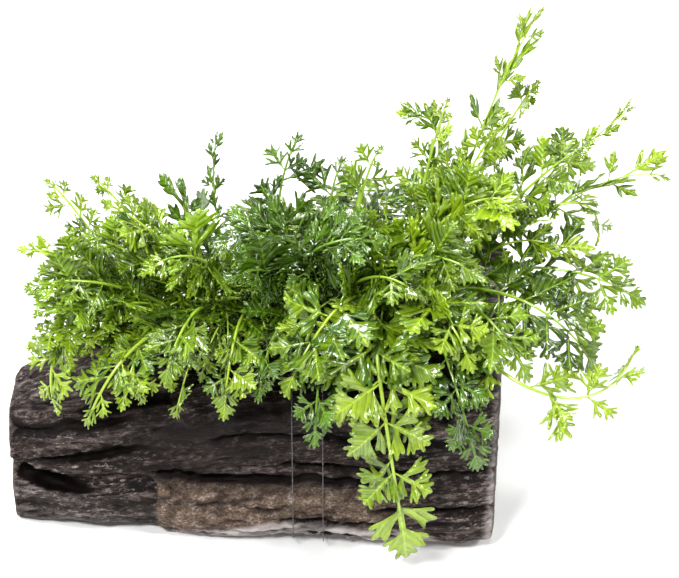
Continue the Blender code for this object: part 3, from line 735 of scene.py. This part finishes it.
def lobe_points(lobe, style, rng):
    """A lobe's outline from its outer edge round its teeth to its inner edge."""
    ahead = lobe.ahead()
    outer = Vector((-math.sin(lobe.angle), lobe.side * math.cos(lobe.angle)))
    half = lobe.width / 2
    edge = [(-0.06, 0.14), (0.36, 0.40), (0.70, 1.0)]
    if style.teeth == 1:
        edge = [(-0.06, 0.26), (0.20, 0.80), (0.46, 1.0), (0.76, 0.62)]
    shape = list(edge)
    gap_half = 0.84 / max(1, style.teeth - 1)
    for j in range(style.teeth):
        middle = 0.84 - 2 * gap_half * j if style.teeth > 1 else 0.0
        reach = 0.98 - 0.15 * abs(middle) + rng.uniform(-0.05, 0.04)
        offs = (style.blunt, -style.blunt) if style.blunt else (0.0,)
        shape += [(reach, middle + off) for off in offs]
        if j < style.teeth - 1:
            shape.append((reach - style.cut * rng.uniform(0.85, 1.15), middle - gap_half))
    shape += [(a, -b) for a, b in reversed(edge)]
    return [lobe.foot + ahead * a * lobe.length + outer * b * half for a, b in shape]


def half_lobes(style, side, rng):
    """The lobes on one side of a leaflet, from its foot to its tip."""
    lobes = []
    for foot, angle, reach, width in zip(style.feet, style.angles, style.reaches, style.widths):
        foot = foot + 0.016 * side + rng.uniform(-0.014, 0.014)
        angle = math.radians(angle + rng.uniform(-4, 4))
        reach *= rng.uniform(0.80, 1.10)
        width *= rng.uniform(0.85, 1.15)
        lobes.append(Lobe(Vector((foot, 0.0)), angle, side, reach, width))
    return lobes


def rounded(outline):
    """The outline with each corner cut off once."""
    cut = []
    for a, b in zip(outline, outline[1:] + outline[:1]):
        cut += [a.lerp(b, 0.25), a.lerp(b, 0.75)]
    return cut


def outer_edge(outlines):
    """The points and the directed edges round the outside of overlapping outlines."""
    points = []
    rings = []
    for outline in outlines:
        rings.append(list(range(len(points), len(points) + len(outline))))
        points += outline
    made = geometry.delaunay_2d_cdt(points, [], rings, 1, SAME_POINT)
    rim = open_sides(made[2])
    used = sorted({start for start, end in rim})
    number = {old: new for new, old in enumerate(used)}
    return [made[0][i].copy() for i in used], [(number[start], number[end]) for start, end in rim]


def open_sides(faces):
    """The sides that belong to one triangle only."""
    sides = {(f[i], f[(i + 1) % 3]) for f in faces for i in range(3)}
    return sorted((start, end) for start, end in sides if (end, start) not in sides)


class Template:
    """A flat lobed leaflet one unit long, cut into triangles along its veins."""

    def __init__(self, style, seed):
        rng = random.Random(seed)
        end = Lobe(Vector((1 - style.end_reach, 0.0)), 0.0, 1, style.end_reach, style.end_width)
        self.lobes = half_lobes(style, -1, rng) + half_lobes(style, 1, rng) + [end]
        lobe_outlines = [lobe_points(lobe, style, rng) for lobe in self.lobes]
        outlines = [rounded(o) if style.smooth else o for o in lobe_outlines]
        self.fill(style, *outer_edge([self.web_outline(style), *outlines]))

    def web_outline(self, style):
        """The stalk and the narrow blade along the midrib."""
        low, high = style.feet
        far = 1 - 0.5 * style.end_reach
        half = [(0.0, STALK_HALF_WIDTH), (0.6 * low, STALK_HALF_WIDTH), (low, style.web),
                (high, style.web), (far, 0.6 * style.web)]
        return [Vector((u, -v)) for u, v in half] + [Vector((u, v)) for u, v in reversed(half)]

    def fill(self, style, points, edges):
        """Cuts the inside of the outer edge into triangles, with every vein as a line of edges."""
        first_vein = len(points)
        end = self.lobes[-1]
        on_end = [end.foot.x + end.length * share for share in (0.1, 0.45, 0.8)]
        rib = sorted({0.03, 0.12, *(lobe.foot.x for lobe in self.lobes[:-1]), *on_end})
        points += [Vector((x, 0.0)) for x in rib]
        edges += [(first_vein + i, first_vein + i + 1) for i in range(len(rib) - 1)]
        for lobe in self.lobes[:-1]:
            previous = first_vein + rib.index(lobe.foot.x)
            for share in (0.38, 0.78):
                edges.append((previous, len(points)))
                previous = len(points)
                points.append(lobe.foot + lobe.ahead() * lobe.length * share)
        if style.teeth == 3:
            for lobe in self.lobes:
                ahead = lobe.ahead()
                outer = Vector((-ahead.y, ahead.x))
                for aside in (-0.25, 0.25):
                    edges.append((len(points), len(points) + 1))
                    points.append(lobe.foot + ahead * lobe.length * 0.5 + outer * 0.4 * aside * lobe.width)
                    points.append(lobe.foot + ahead * lobe.length * 0.72 + outer * aside * lobe.width)
        made = geometry.delaunay_2d_cdt(points, edges, [], 1, SAME_POINT)
        self.points = np.array([tuple(p) for p in made[0]])
        self.faces = np.array(made[2])
        self.rim = np.array(open_sides(made[2]))
        self.vein = np.array([float(any(old >= first_vein for old in olds)) for olds in made[3]])
        self.vein[self.rim.ravel()] = 0.0
        self.mark_lobes()

    def mark_lobes(self):
        """Which lobe each point belongs to, how far out along it and how far to its side."""
        count = len(self.points)
        self.lobe_of = np.full(count, -1)
        self.reach = np.zeros(count)
        self.aside = np.zeros(count)
        for i, (u, v) in enumerate(self.points):
            best = 1.0
            for k, lobe in enumerate(self.lobes):
                dx, dy = u - lobe.foot.x, v * lobe.side
                if lobe.angle and dy < 0.02:
                    continue
                a = (dx * math.cos(lobe.angle) + dy * math.sin(lobe.angle)) / lobe.length
                b = (-dx * math.sin(lobe.angle) + dy * math.cos(lobe.angle)) / (lobe.width / 2)
                if 0.1 < a < 1.1 and abs(b) < best * 1.35:
                    best = abs(b)
                    self.lobe_of[i], self.reach[i], self.aside[i] = k, a - 0.1, b


class Sheet:
    """The points, faces and marks of one frond, gathered before its mesh is made."""

    def __init__(self):
        self.points = []
        self.faces = []
        self.flat = []
        self.marks = {"ahead": [], "beside": [], "tone": [], "stem": []}
        self.count = 0

    def add(self, points, faces, flat_from, **marks):
        first_face = len(self.faces)
        self.faces += [tuple(int(i) + self.count for i in f) for f in faces]
        self.flat += range(first_face + flat_from, first_face + len(faces))
        self.points.append(points)
        for key, values in self.marks.items():
            values.append(np.broadcast_to(marks[key], len(points)))
        self.count += len(points)

    def add_stem(self, spine, blade_end, tone, thick):
        """A round stem from inside the rhizome's skin into the end leaflet."""
        end = blade_end + STEM_OVERLAP * (1 - blade_end)
        steps = [i / (STEM_RINGS - 1) for i in range(STEM_RINGS)]
        heel = spine.root.lerp(spine.centre, STEM_HEEL)
        rings = [(heel, spine.tangent(0.0), spine.across(0.0), HEEL_RADIUS * STEM_RADIUS * thick)]
        for share in steps:
            t = end * share
            swell = STEM_SWELL * (1 - ramp(share, 0.0, SWELL_LENGTH))
            radius = STEM_RADIUS + (STEM_TIP_RADIUS - STEM_RADIUS) * share ** 0.8
            rings.append((spine.point(t), spine.tangent(t), spine.across(t), radius * thick * (1 + swell)))
        points = []
        for centre, tangent, across, radius in rings:
            up = across.cross(tangent)
            for k in range(STEM_SIDES):
                angle = math.tau * k / STEM_SIDES
                groove = STEM_GROOVE if k == STEM_SIDES // 4 else 1.0
                away = across * math.cos(angle) + up * math.sin(angle) * groove
                points.append(centre + away * radius * MM)
        faces = tube_faces(len(rings), STEM_SIDES)
        self.add(np.array(points), faces, len(faces) - 2, ahead=0.0, beside=0.0, tone=tone, stem=1.0)

    def add_leaflet(self, template, foot, axis, lateral, size, spread, tone, rng):
        """A lobed leaflet of this size, in mm, from its foot along its axis, curled at random."""
        normal = lateral.cross(axis).normalized()
        u, v = template.points[:, 0], template.points[:, 1] * spread
        lifts = np.array([rng.uniform(-0.24, 0.14) for _ in template.lobes] + [0.0])
        rolls = np.array([rng.uniform(-0.05, 0.05) for _ in template.lobes] + [0.0])
        high = 0.06 * v * np.sign(0.5 - rng.random()) * u * 4
        high += rng.uniform(0.1, 0.6) * v * v - rng.uniform(0.0, 0.16) * u * u
        high += lifts[template.lobe_of] * np.clip(template.reach, 0, 1) ** 1.3 * 0.6
        high += rolls[template.lobe_of] * template.aside * np.clip(template.reach, 0, 1) * 0.5
        high -= 0.024 * template.vein * np.clip(u * 6, 0, 1)
        high *= np.clip(u * 5, 0, 1)
        flat = np.outer(u, axis) + np.outer(v, lateral) + np.outer(high, normal)
        middle = np.array(foot) + flat * size * MM
        thick = np.array(normal) * BLADE_HALF_THICK * MM
        points = np.vstack((middle + thick, middle - thick))
        n = len(middle)
        upper = template.faces
        lower = template.faces[:, ::-1] + n
        start, end = template.rim.T
        rim = np.column_stack((end, start, start + n, end + n))
        faces = [*map(tuple, upper), *map(tuple, lower), *map(tuple, rim)]
        tones_and_shade = np.clip(tone + 0.3 * u, 0, 1)
        self.add(points, faces, 2 * len(upper), ahead=np.tile(u, 2),
                 beside=np.tile(template.points[:, 1], 2), tone=np.tile(tones_and_shade, 2), stem=0.0)

    def add_leaflets(self, spine, blade_end, leaflets, choice, frond_tone, rng):
        """A stem's leaflets, from each one's place, length in mm and corners, and its end leaflet."""
        for t, size, (low, tip, high) in leaflets:
            foot = spine.point(t)
            axis = (tip - foot).normalized()
            lateral = (low - high).normalized() * rng.choice((-1, 1))
            spread = SPREAD * (high - low).length / MM / (WIDTH_SHARE * size)
            # Leaflets near the stem's foot, deep in the crowd, are darker: painted shade. The random part is
            # each leaflet's own tone.
            tone = frond_tone + (t - 0.62) + rng.uniform(-0.35, 0.45)
            self.add_leaflet(rng.choice(choice), foot, axis, lateral, size, spread, tone, rng)
        foot, tip = spine.point(blade_end), spine.point(1.0)
        axis = (tip - foot).normalized()
        lateral = spine.across((1 + blade_end) / 2)
        lateral = (lateral - axis * lateral.dot(axis)).normalized()
        size = (tip - foot).length / MM
        tone = frond_tone + END_LEAFLET_LIGHTER
        self.add_leaflet(rng.choice(choice), foot, axis, lateral, size, 0.95, tone, rng)


def templates():
    """The variations of each style's leaflet, each from a seed of its own."""
    made = {}
    for name, style in STYLES.items():
        made[name] = [Template(style, 10 * len(made) + k) for k in range(VARIATIONS)]
    return made


def clear(point, wood):
    """Whether a point is inside the model's box and outside the driftwood."""
    for value, low, high in zip(point, *cad_bounds):
        if not low + CLEARANCE * MM < value < high - CLEARANCE * MM:
            return False
    hit = wood.tree.ray_cast(point, UP)[0]
    near = wood.tree.find_nearest(point)[3]
    return hit is None and near > CLEARANCE * MM


def extra_leaflets(frond, spine, first, last, scale, wood, rng):
    """Smaller leaflets from first to last along a stem, on alternate sides, where there is room."""
    is_open, is_slender = frond.habit == "open", frond.style == "slender"
    spacing = frond.leaf * scale * (OPEN_SPACING if is_open else CROWD_SPACING)
    most_tilt = OPEN_TILT if is_open else CROWD_TILT
    angles = SLENDER_ANGLES if is_slender else LEAFLET_ANGLES
    count = int((last - first) * (spine.length() / MM) / spacing)
    leaflets = []
    for k in range(count):
        t = first + (last - first) * (k + rng.uniform(0.2, 0.8)) / count
        side = 1 if k % 2 else -1
        size = frond.leaf * scale * rng.uniform(0.75, 1.05) * (1 - LEAFLET_TAPER * t)
        size *= SLENDER_GROWTH if is_slender else 1.0
        angle = math.radians(rng.uniform(*angles))
        tilt = rng.uniform(-most_tilt, most_tilt)
        corners = leaflet_corners(spine, t, angle, size, WIDTH_SHARE * size, side, tilt)
        if all(clear(corner, wood) for corner in corners):
            leaflets.append((t, size, corners))
    return leaflets


def make_frond(frond, shapes, wood):
    """A frond's stem and leaflets as in the model, its extra leaflets and its younger stems."""
    vertices = nodes[frond.name].data.vertices
    tree = KDTree(len(vertices))
    for i, vert in enumerate(vertices):
        tree.insert(vert.co, i)
    tree.balance()
    spine = found_spine(frond, wood, tree)
    leaflets, blade_end = found_leaflets(frond, spine, tree)
    rng = random.Random(frond.name)
    tone = rng.uniform(*FROND_TONES) - SHADED.get(frond.name, 0.0)
    choice = shapes[frond.style]
    is_slender = frond.style == "slender"
    sheet = Sheet()
    sheet.add_stem(spine, blade_end, tone, THIN_STEM if is_slender else THICK_STEMS.get(frond.name, 1.0))
    first = SLENDER_FROM if is_slender else EXTRA_FROM
    scale = OPEN_SCALE if frond.habit == "open" or frond.style == "broad" else CROWD_SCALE
    leaflets += extra_leaflets(frond, spine, first, blade_end - BARE_END, scale, wood, rng)
    sheet.add_leaflets(spine, blade_end, leaflets, choice, tone, rng)
    tone += YOUNG_LIGHTER
    for turn, share in YOUNG_STEMS[frond.habit]:
        young = spine.turned(math.radians(turn * rng.uniform(0.7, 1.2)), share * rng.uniform(0.85, 1.1))
        end = 1 - END_LEAFLET_SHARE * frond.leaf * share / (young.length() / MM)
        if end < CLEAR_AT[0] or not all(clear(young.point(t), wood) for t in CLEAR_AT):
            continue
        sheet.add_stem(young, end, tone, THIN_STEM)
        scale = 0.45 + 0.65 * share
        leaflets = extra_leaflets(frond, young, YOUNG_FROM, end - BARE_END, scale, wood, rng)
        sheet.add_leaflets(young, end, leaflets, choice, tone, rng)
    marks = {key: np.concatenate(values) for key, values in sheet.marks.items()}
    points = np.vstack(sheet.points)
    add_mesh(frond.name + "_leaves", points, sheet.faces, frond.name, frond.finish, sheet.flat, **marks)


# Driftwood.

def wood_mesh():
    """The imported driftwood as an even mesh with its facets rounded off."""
    source = bpy.data.objects.new("wood_source", nodes["driftwood"].data.copy())
    bpy.context.scene.collection.objects.link(source)
    weld = source.modifiers.new("weld", "WELD")
    weld.merge_threshold = WOOD_WELD * MM
    remesh = source.modifiers.new("remesh", "REMESH")
    remesh.mode = "VOXEL"
    remesh.voxel_size = WOOD_VOXEL * MM
    graph = bpy.context.evaluated_depsgraph_get()
    mesh = bpy.data.meshes.new_from_object(source.evaluated_get(graph))
    bpy.data.objects.remove(source)
    bm = bmesh.new()
    bm.from_mesh(mesh)
    for _ in range(WOOD_SMOOTHING):
        bmesh.ops.smooth_vert(
            bm, verts=bm.verts, factor=0.5, use_axis_x=True, use_axis_y=True, use_axis_z=True
        )
    bm.normal_update()
    bm.to_mesh(mesh)
    bm.free()
    return mesh


# Cracks along the grain on the front, in millimetres: where each starts and ends along x, its height
# at the start, its rise per millimetre, its depth and its half width.
CRACKS = (
    (-84, -38, 44.5, 0.30, 6.0, 2.5),
    (-84, -30, 36.5, 0.28, 4.0, 1.4),
    (-84, -30, 29.5, 0.27, 6.0, 2.3),
    (-72, -26, 22.0, 0.27, 5.0, 1.8),
    (-54, -4, 41.0, 0.26, 5.0, 1.9),
    (-34, 44, 23.6, 0.02, 4.5, 1.7),
    (2, 54, 5.2, 0.00, 4.5, 1.4),
    (4, 50, 10.6, 0.01, 3.0, 1.0),
    (-16, 66, 37.0, 0.06, 3.4, 1.4),
    (6, 88, 29.0, 0.02, 3.6, 1.4),
    (34, 88, 16.0, 0.04, 3.0, 1.2),
)
# The worn gap under the ledge at the left end of the front, darkened with painted shadow.
LEDGE_GAP = (-88, -44, 19.6, -0.09, 7.0, 2.6)
# The speckled block that stands out at the foot of the front: where it starts and ends, and its top.
BLOCK_FROM_X = -29.0
BLOCK_TO_X = 34.0
BLOCK_HEIGHT = 23.4
# How high the pale rim at the foot of the front reaches, at points along x. The pale is a painted reflection
# of the floor.
RIM_HEIGHTS = ((-80, 0.0), (-30, 0.6), (5, 10.0), (44, 9.0), (60, 3.5), (80, 3.0))


def grain_rise(x):
    """How far the grain has climbed at x: steeply at the left end, hardly at the right."""
    return 13.0 * (1 - math.exp(-(x + 80) / 50))


def rim_height(x):
    for (x0, z0), (x1, z1) in zip(RIM_HEIGHTS, RIM_HEIGHTS[1:]):
        if x <= x1:
            return z0 + (z1 - z0) * (x - x0) / (x1 - x0)
    return RIM_HEIGHTS[-1][1]


def ledge_height(x):
    """How high the pale ledge at the left end reaches. The pale is a painted reflection."""
    return 17.6 - 0.09 * (x + 80) - 0.10 * max(0.0, x + 50)


def noise_at(x, y, z):
    return noise.noise(Vector((x, y, z)))


def line_depth(p, line):
    """How deep a crack cuts at a point."""
    start, end, height, rise, depth, half = line
    above = p.z - height - rise * (p.x - start)
    if abs(above) > half + 2.6:
        return 0.0
    wander = 1.1 * noise_at(p.x / 9, height, 0) + 0.5 * noise_at(p.x / 3, height, 9)
    off = abs(above - 1.2 * wander)
    ends = ramp(p.x, start, start + 6) * (1 - ramp(p.x, end - 20, end))
    broken = 0.8 + 0.5 * noise_at(p.x / 13, height, 30)
    return depth * ends * broken * max(0.0, 1 - off / (half * (0.3 + 0.7 * ends))) ** 0.7


def wood_skin(p, normal):
    """At a point in mm: how far the skin moves out, and its painted shade, speckle, painted reflection and
    sawn marks.
    """
    bend = 1.4 * noise_at(p.x / 30, p.y / 20, p.z / 20)
    y, z = p.y + bend, p.z + bend - grain_rise(p.x)
    strands = noise_at(p.x / 26, y / 2.6, z / 2.6)
    coarse = noise_at(p.x / 22, y / 6.5, z / 6.5 + 20)
    chips = noise_at(p.x / 4.5, y / 2.2, z / 2.2 + 50)
    lumps = noise_at(p.x / 9, y / 4.5, z / 4.5 + 90)
    crease = max(0.0, 1 - abs(noise_at(p.x / 24, y / 4.2, z / 4.2 + 120)) / 0.13)
    front = ramp(-normal.y, 0.2, 0.6)
    # The block stands out at the foot of the front, crumbly all over.
    block = ramp(p.x, BLOCK_FROM_X - 0.8, BLOCK_FROM_X) * (1 - ramp(p.x, BLOCK_TO_X, BLOCK_TO_X + 20))
    block *= (1 - ramp(p.z, BLOCK_HEIGHT - 2, BLOCK_HEIGHT + 1.0)) * ramp(-normal.y, 0.1, 0.4)
    out = -0.35 + 0.55 * strands * (1 - 0.6 * block)
    out = out + 0.6 * coarse + 0.6 * chips + 0.6 * lumps - 0.7 * crease
    crystals = noise_at(p.x / 1.9, p.y / 1.7, p.z / 1.7)
    out += block * (0.5 + 0.7 * crystals)
    cut = 0.0
    if front:
        cut = max(line_depth(p, line) for line in (*CRACKS, LEDGE_GAP)) * front
    # Painted shade: darker in the carved cracks, the creases and the hollows between chips and lumps.
    cavity = ramp(cut, 0.1, 1.0) + 0.8 * crease + ramp(-chips - 0.5 * lumps, 0.15, 0.6) * 0.6
    # Painted shade of the leaves: under them the front is darkened.
    under_leaf_shade = ramp(p.x, -58, -24) * (1 - ramp(p.x, 8, 40)) * ramp(p.z, 17, 23) * front
    cavity = max(cavity, under_leaf_shade * (0.7 + 0.4 * coarse))
    # Painted reflection of the pale floor and backdrop: the rim at the foot, the ledge at the left and the
    # edge of the right end are painted pale.
    rim = rim_height(p.x) + 0.8 * coarse + 0.5 * chips
    worn = (1 - ramp(p.z, rim - 0.8, rim + 0.4)) * ramp(-normal.y, -0.4, 0.2)
    ledge = ledge_height(p.x)
    ledge_face = (1 - ramp(p.z, ledge - 3.5, ledge)) * (1 - ramp(p.x, -46, -30)) * front
    worn = max(worn, ledge_face * (0.12 + 0.16 * coarse))
    end = ramp(p.x - 0.05 * (p.z - 20), 67.5, 71.0)
    worn = max(worn, end * ramp(-normal.y, -0.2, 0.4) * 0.72)
    # Both ends are flat and nearly smooth.
    sawn = ramp(abs(normal.x), 0.7, 0.9)
    out *= 1 - 0.75 * max(end, sawn)
    cavity *= 1 - 0.7 * max(end, sawn)
    return out - cut, clamped(cavity), block, clamped(worn * (1 - sawn)), sawn


def make_driftwood():
    """The block, carved and marked. No point leaves the model's box."""
    mesh = wood_mesh()
    lowest, highest = (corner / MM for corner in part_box("driftwood"))
    points = []
    marks = {"cavity": [], "speckle": [], "worn": [], "sawn": []}
    for vert in mesh.vertices:
        p = vert.co / MM
        out, *values = wood_skin(p, vert.normal)
        p += vert.normal * out * ramp(p.z, *CARVED_FROM)
        inside = [max(low, min(high, value)) for low, high, value in zip(lowest, highest, p)]
        points.append(Vector(inside) * MM)
        for key, value in zip(marks, values):
            marks[key].append(value)
    faces = [tuple(f.vertices) for f in mesh.polygons]
    bpy.data.meshes.remove(mesh)
    add_mesh("driftwood_block", points, faces, "driftwood", "driftwood", **marks)


# Rhizome, roots and thread.

RHIZOME_STEPS = 90
RHIZOME_SIDES = 16
SCALES = 420
SCALES_SEED = 4
ROOT_STEPS = 36
ROOT_SIDES = 8
ROOTLET_STEPS = 7
ROOTLET_SIDES = 5

# A thread is two plies: how far each is off the middle and its radius, as shares of the thread's.
PLY_OFFSET = 0.45
PLY_RADIUS = 0.58
PLY_SIDES = 5

# A turn's corners are found from points this near each other, in thread radii. Its steps are about
# this long, in millimetres, and a ply turns round once in this many.
CORNER_SPREAD = 3.2
THREAD_STEP = 1.2
STEPS_PER_TWIST = 3


def tube(path, radii, sides):
    """The points and faces of a round tube along points in metres."""
    points = []
    last = len(path) - 1
    for i, (centre, radius) in enumerate(zip(path, radii)):
        ahead = (path[min(i + 1, last)] - path[max(i - 1, 0)]).normalized()
        side = ahead.cross(UP)
        if side.length < 0.2:
            side = ahead.cross(Vector((0, 1, 0)))
        side.normalize()
        up = side.cross(ahead)
        for k in range(sides):
            points.append(centre + round_about(side, up, math.tau * k / sides) * radius * MM)
    return points, tube_faces(len(path), sides)


def make_rhizome(wood):
    """A knobbly stem under brown scales."""
    first, last = RHIZOME_PATH[0][0], RHIZOME_PATH[-1][0]
    rough = []
    radii = []
    for i in range(RHIZOME_STEPS):
        share = i / (RHIZOME_STEPS - 1)
        rough.append(wood.rhizome_centre(round(first + (last - first) * share, 3)))
        knob = 1 + 0.12 * math.sin(i * 0.9) + 0.08 * math.sin(i * 2.3)
        radii.append(RHIZOME_RADIUS * 0.92 * knob * min(1.0, 0.3 + 9 * min(share, 1 - share)))
    path = []
    for i in range(RHIZOME_STEPS):
        near = rough[max(0, i - 3):i + 4]
        path.append(sum(near, Vector()) / len(near))
    points, faces = tube(path, radii, RHIZOME_SIDES)
    marks = [0.0] * len(points)
    rng = random.Random(SCALES_SEED)
    for _ in range(SCALES):
        i = rng.randrange(3, RHIZOME_STEPS - 3)
        angle = rng.uniform(-0.6, math.pi + 0.6)
        ahead = (path[i + 1] - path[i - 1]).normalized()
        side = ahead.cross(UP).normalized()
        out = round_about(side, side.cross(ahead), angle)
        foot = path[i] + out * radii[i] * 0.93 * MM
        wide = ahead.cross(out) * rng.uniform(0.35, 0.6) * MM
        lift = out * rng.uniform(0.3, 0.9) * MM
        tip = foot + ahead * rng.uniform(1.6, 2.8) * MM * rng.choice((-1, 1)) + lift
        base = len(points)
        points += [foot - wide, foot + wide, tip, foot + out * 0.35 * MM]
        faces += [(base + a, base + b, base + c) for a, b, c in ((0, 1, 3), (1, 2, 3), (2, 0, 3), (0, 2, 1))]
        marks += [1.0] * 4
    add_mesh("rhizome_stem", points, faces, "rhizome", "rhizome", scale=marks)


def root_path(index, start_x, side, wood):
    """The way of a root over the wood's top, as in the model."""
    centre = wood.rhizome_centre(start_x) / MM
    points = []
    count = 7
    for i in range(count):
        share = i / (count - 1)
        y = centre.y + side * (RHIZOME_RADIUS + 1.4 + share * ROOT_REACH)
        x = start_x + 6.0 * share * side + 2.5 * math.sin(4.0 * share + index)
        points.append(Vector((x, y, wood.top(x, y) + ROOT_RADIUS + GAP)) * MM)
    return points


def make_root(index, start_x, side, wood):
    """A root that thins to its tip, with finer rootlets that leave it to both sides."""
    coarse = root_path(index, start_x, side, wood)
    last = ROOT_STEPS - 1
    steps = range(ROOT_STEPS)
    path = [along(coarse, i / last) for i in steps]
    radii = [ROOT_RADIUS * (1.1 - 0.85 * i / last) * (1 + 0.1 * math.sin(i * 1.7)) for i in steps]
    points, faces = tube(path, radii, ROOT_SIDES)
    rng = random.Random(index)
    for i in range(3, last - 1):
        start = path[i]
        away = Vector((rng.choice((-1, 1)), rng.uniform(-0.2, 0.9) * side, 0)).normalized()
        length = rng.uniform(3.0, 8.0)
        fine = []
        for k in range(ROOTLET_STEPS):
            place = start / MM + away * length * k / (ROOTLET_STEPS - 1)
            place.x += 0.5 * math.sin(k + i)
            place.z = min(wood.top(place.x, place.y) + 0.2, start.z / MM)
            fine.append(start.lerp(place * MM, k / 2) if k < 2 else place * MM)
        more, more_faces = tube(fine, [0.16 - 0.018 * k for k in range(ROOTLET_STEPS)], ROOTLET_SIDES)
        faces += [tuple(a + len(points) for a in f) for f in more_faces]
        points += more
    add_mesh(f"root_{index + 1}_fibres", points, faces, f"root_{index + 1}", "root")


def thread_corners(node):
    """The corners of a turn of thread, in order round it."""
    bm = bmesh.new()
    bm.from_mesh(node.data)
    bmesh.ops.remove_doubles(bm, verts=bm.verts, dist=1e-6)
    left = [v.co.copy() for v in bm.verts]
    bm.free()
    middle = sum(left, Vector()) / len(left)
    groups = []
    for point in left:
        for group in groups:
            if (group[0] - point).length < CORNER_SPREAD * THREAD_RADIUS * MM:
                group.append(point)
                break
        else:
            groups.append([point])
    corners = [sum(group, Vector()) / len(group) for group in groups]
    return sorted(corners, key=lambda c: math.atan2(c.z - middle.z, c.y - middle.y))


def make_thread(name):
    """Two plies twisted round each other along a turn's corners."""
    corners = thread_corners(nodes[name])
    count = len(corners)
    path = []
    for i in range(count):
        a, b = corners[i], corners[(i + 1) % count]
        pieces = max(2, int((b - a).length / MM / THREAD_STEP))
        path += [a.lerp(b, k / pieces) for k in range(pieces)]
    points = []
    faces = []
    total = len(path)
    for ply in (0.0, math.pi):
        base = len(points)
        for i, centre in enumerate(path):
            ahead = (path[(i + 1) % total] - path[i - 1]).normalized()
            side = Vector((1, 0, 0))
            up = side.cross(ahead)
            turn = ply + math.tau * round(total / STEPS_PER_TWIST) * i / total
            off = round_about(side, up, turn) * PLY_OFFSET * THREAD_RADIUS * MM
            for k in range(PLY_SIDES):
                away = round_about(side, up, math.tau * k / PLY_SIDES)
                points.append(centre + off + away * PLY_RADIUS * THREAD_RADIUS * MM)
        for i in range(total):
            here, there = base + i * PLY_SIDES, base + (i + 1) % total * PLY_SIDES
            for k in range(PLY_SIDES):
                beside = (k + 1) % PLY_SIDES
                faces.append((here + k, there + k, there + beside, here + beside))
    add_mesh(name + "_twist", points, faces, name, "thread")


# Stage.

def add_light(name, place, size, power):
    light = bpy.data.lights.new(name, "AREA")
    light.shape = "RECTANGLE"
    light.size, light.size_y = size
    light.energy = power
    lamp = bpy.data.objects.new(name, light)
    lamp.location = place
    away = Vector(place) - Vector(LIGHT_AIM)
    lamp.rotation_euler = away.to_track_quat("Z", "Y").to_euler()
    bpy.context.scene.collection.objects.link(lamp)


def make_stage():
    bpy.ops.mesh.primitive_plane_add(size=FLOOR_SIZE, location=(0, 0, -FLOOR_DROP))
    floor = bpy.context.object
    floor.name = "studio_floor"
    floor.data.materials.append(finishes["floor"])
    for name, values in LIGHTS.items():
        add_light(name, *values)
    world = bpy.data.worlds.new("studio")
    world.use_nodes = True
    background = world.node_tree.nodes["Background"]
    background.inputs["Color"].default_value = (1.0, 1.0, 1.0, 1.0)
    background.inputs["Strength"].default_value = WORLD_STRENGTH
    bpy.context.scene.world = world
    bpy.context.scene.view_settings.view_transform = "Standard"


def make_camera():
    elevation = math.radians(CAMERA_ELEVATION)
    target = Vector(CAMERA_TARGET) * MM
    back = Vector((0, -math.cos(elevation), math.sin(elevation)))
    camera = bpy.data.cameras.new("camera")
    camera.sensor_width = SENSOR_WIDTH
    camera.lens = SENSOR_WIDTH * CAMERA_DISTANCE / (PICTURE_WIDTH * MM_PER_PIXEL)
    viewer = bpy.data.objects.new("camera", camera)
    viewer.location = target + back * CAMERA_DISTANCE * MM
    viewer.rotation_euler = back.to_track_quat("Z", "Y").to_euler()
    bpy.context.scene.collection.objects.link(viewer)
    bpy.context.scene.camera = viewer


make_camera()
for make_material in (floor_material, wood_material, rhizome_material, root_material, thread_material):
    make_material()
for slot in LEAF_COLOURS:
    leaf_material(slot)
make_stage()
wood = WoodTop()
make_driftwood()
make_rhizome(wood)
for index, (start_x, side) in enumerate(ROOT_STARTS):
    make_root(index, start_x, side, wood)
for name in ("thread_turn_1", "thread_turn_2"):
    make_thread(name)
shapes = templates()
for frond in FRONDS:
    make_frond(frond, shapes, wood)
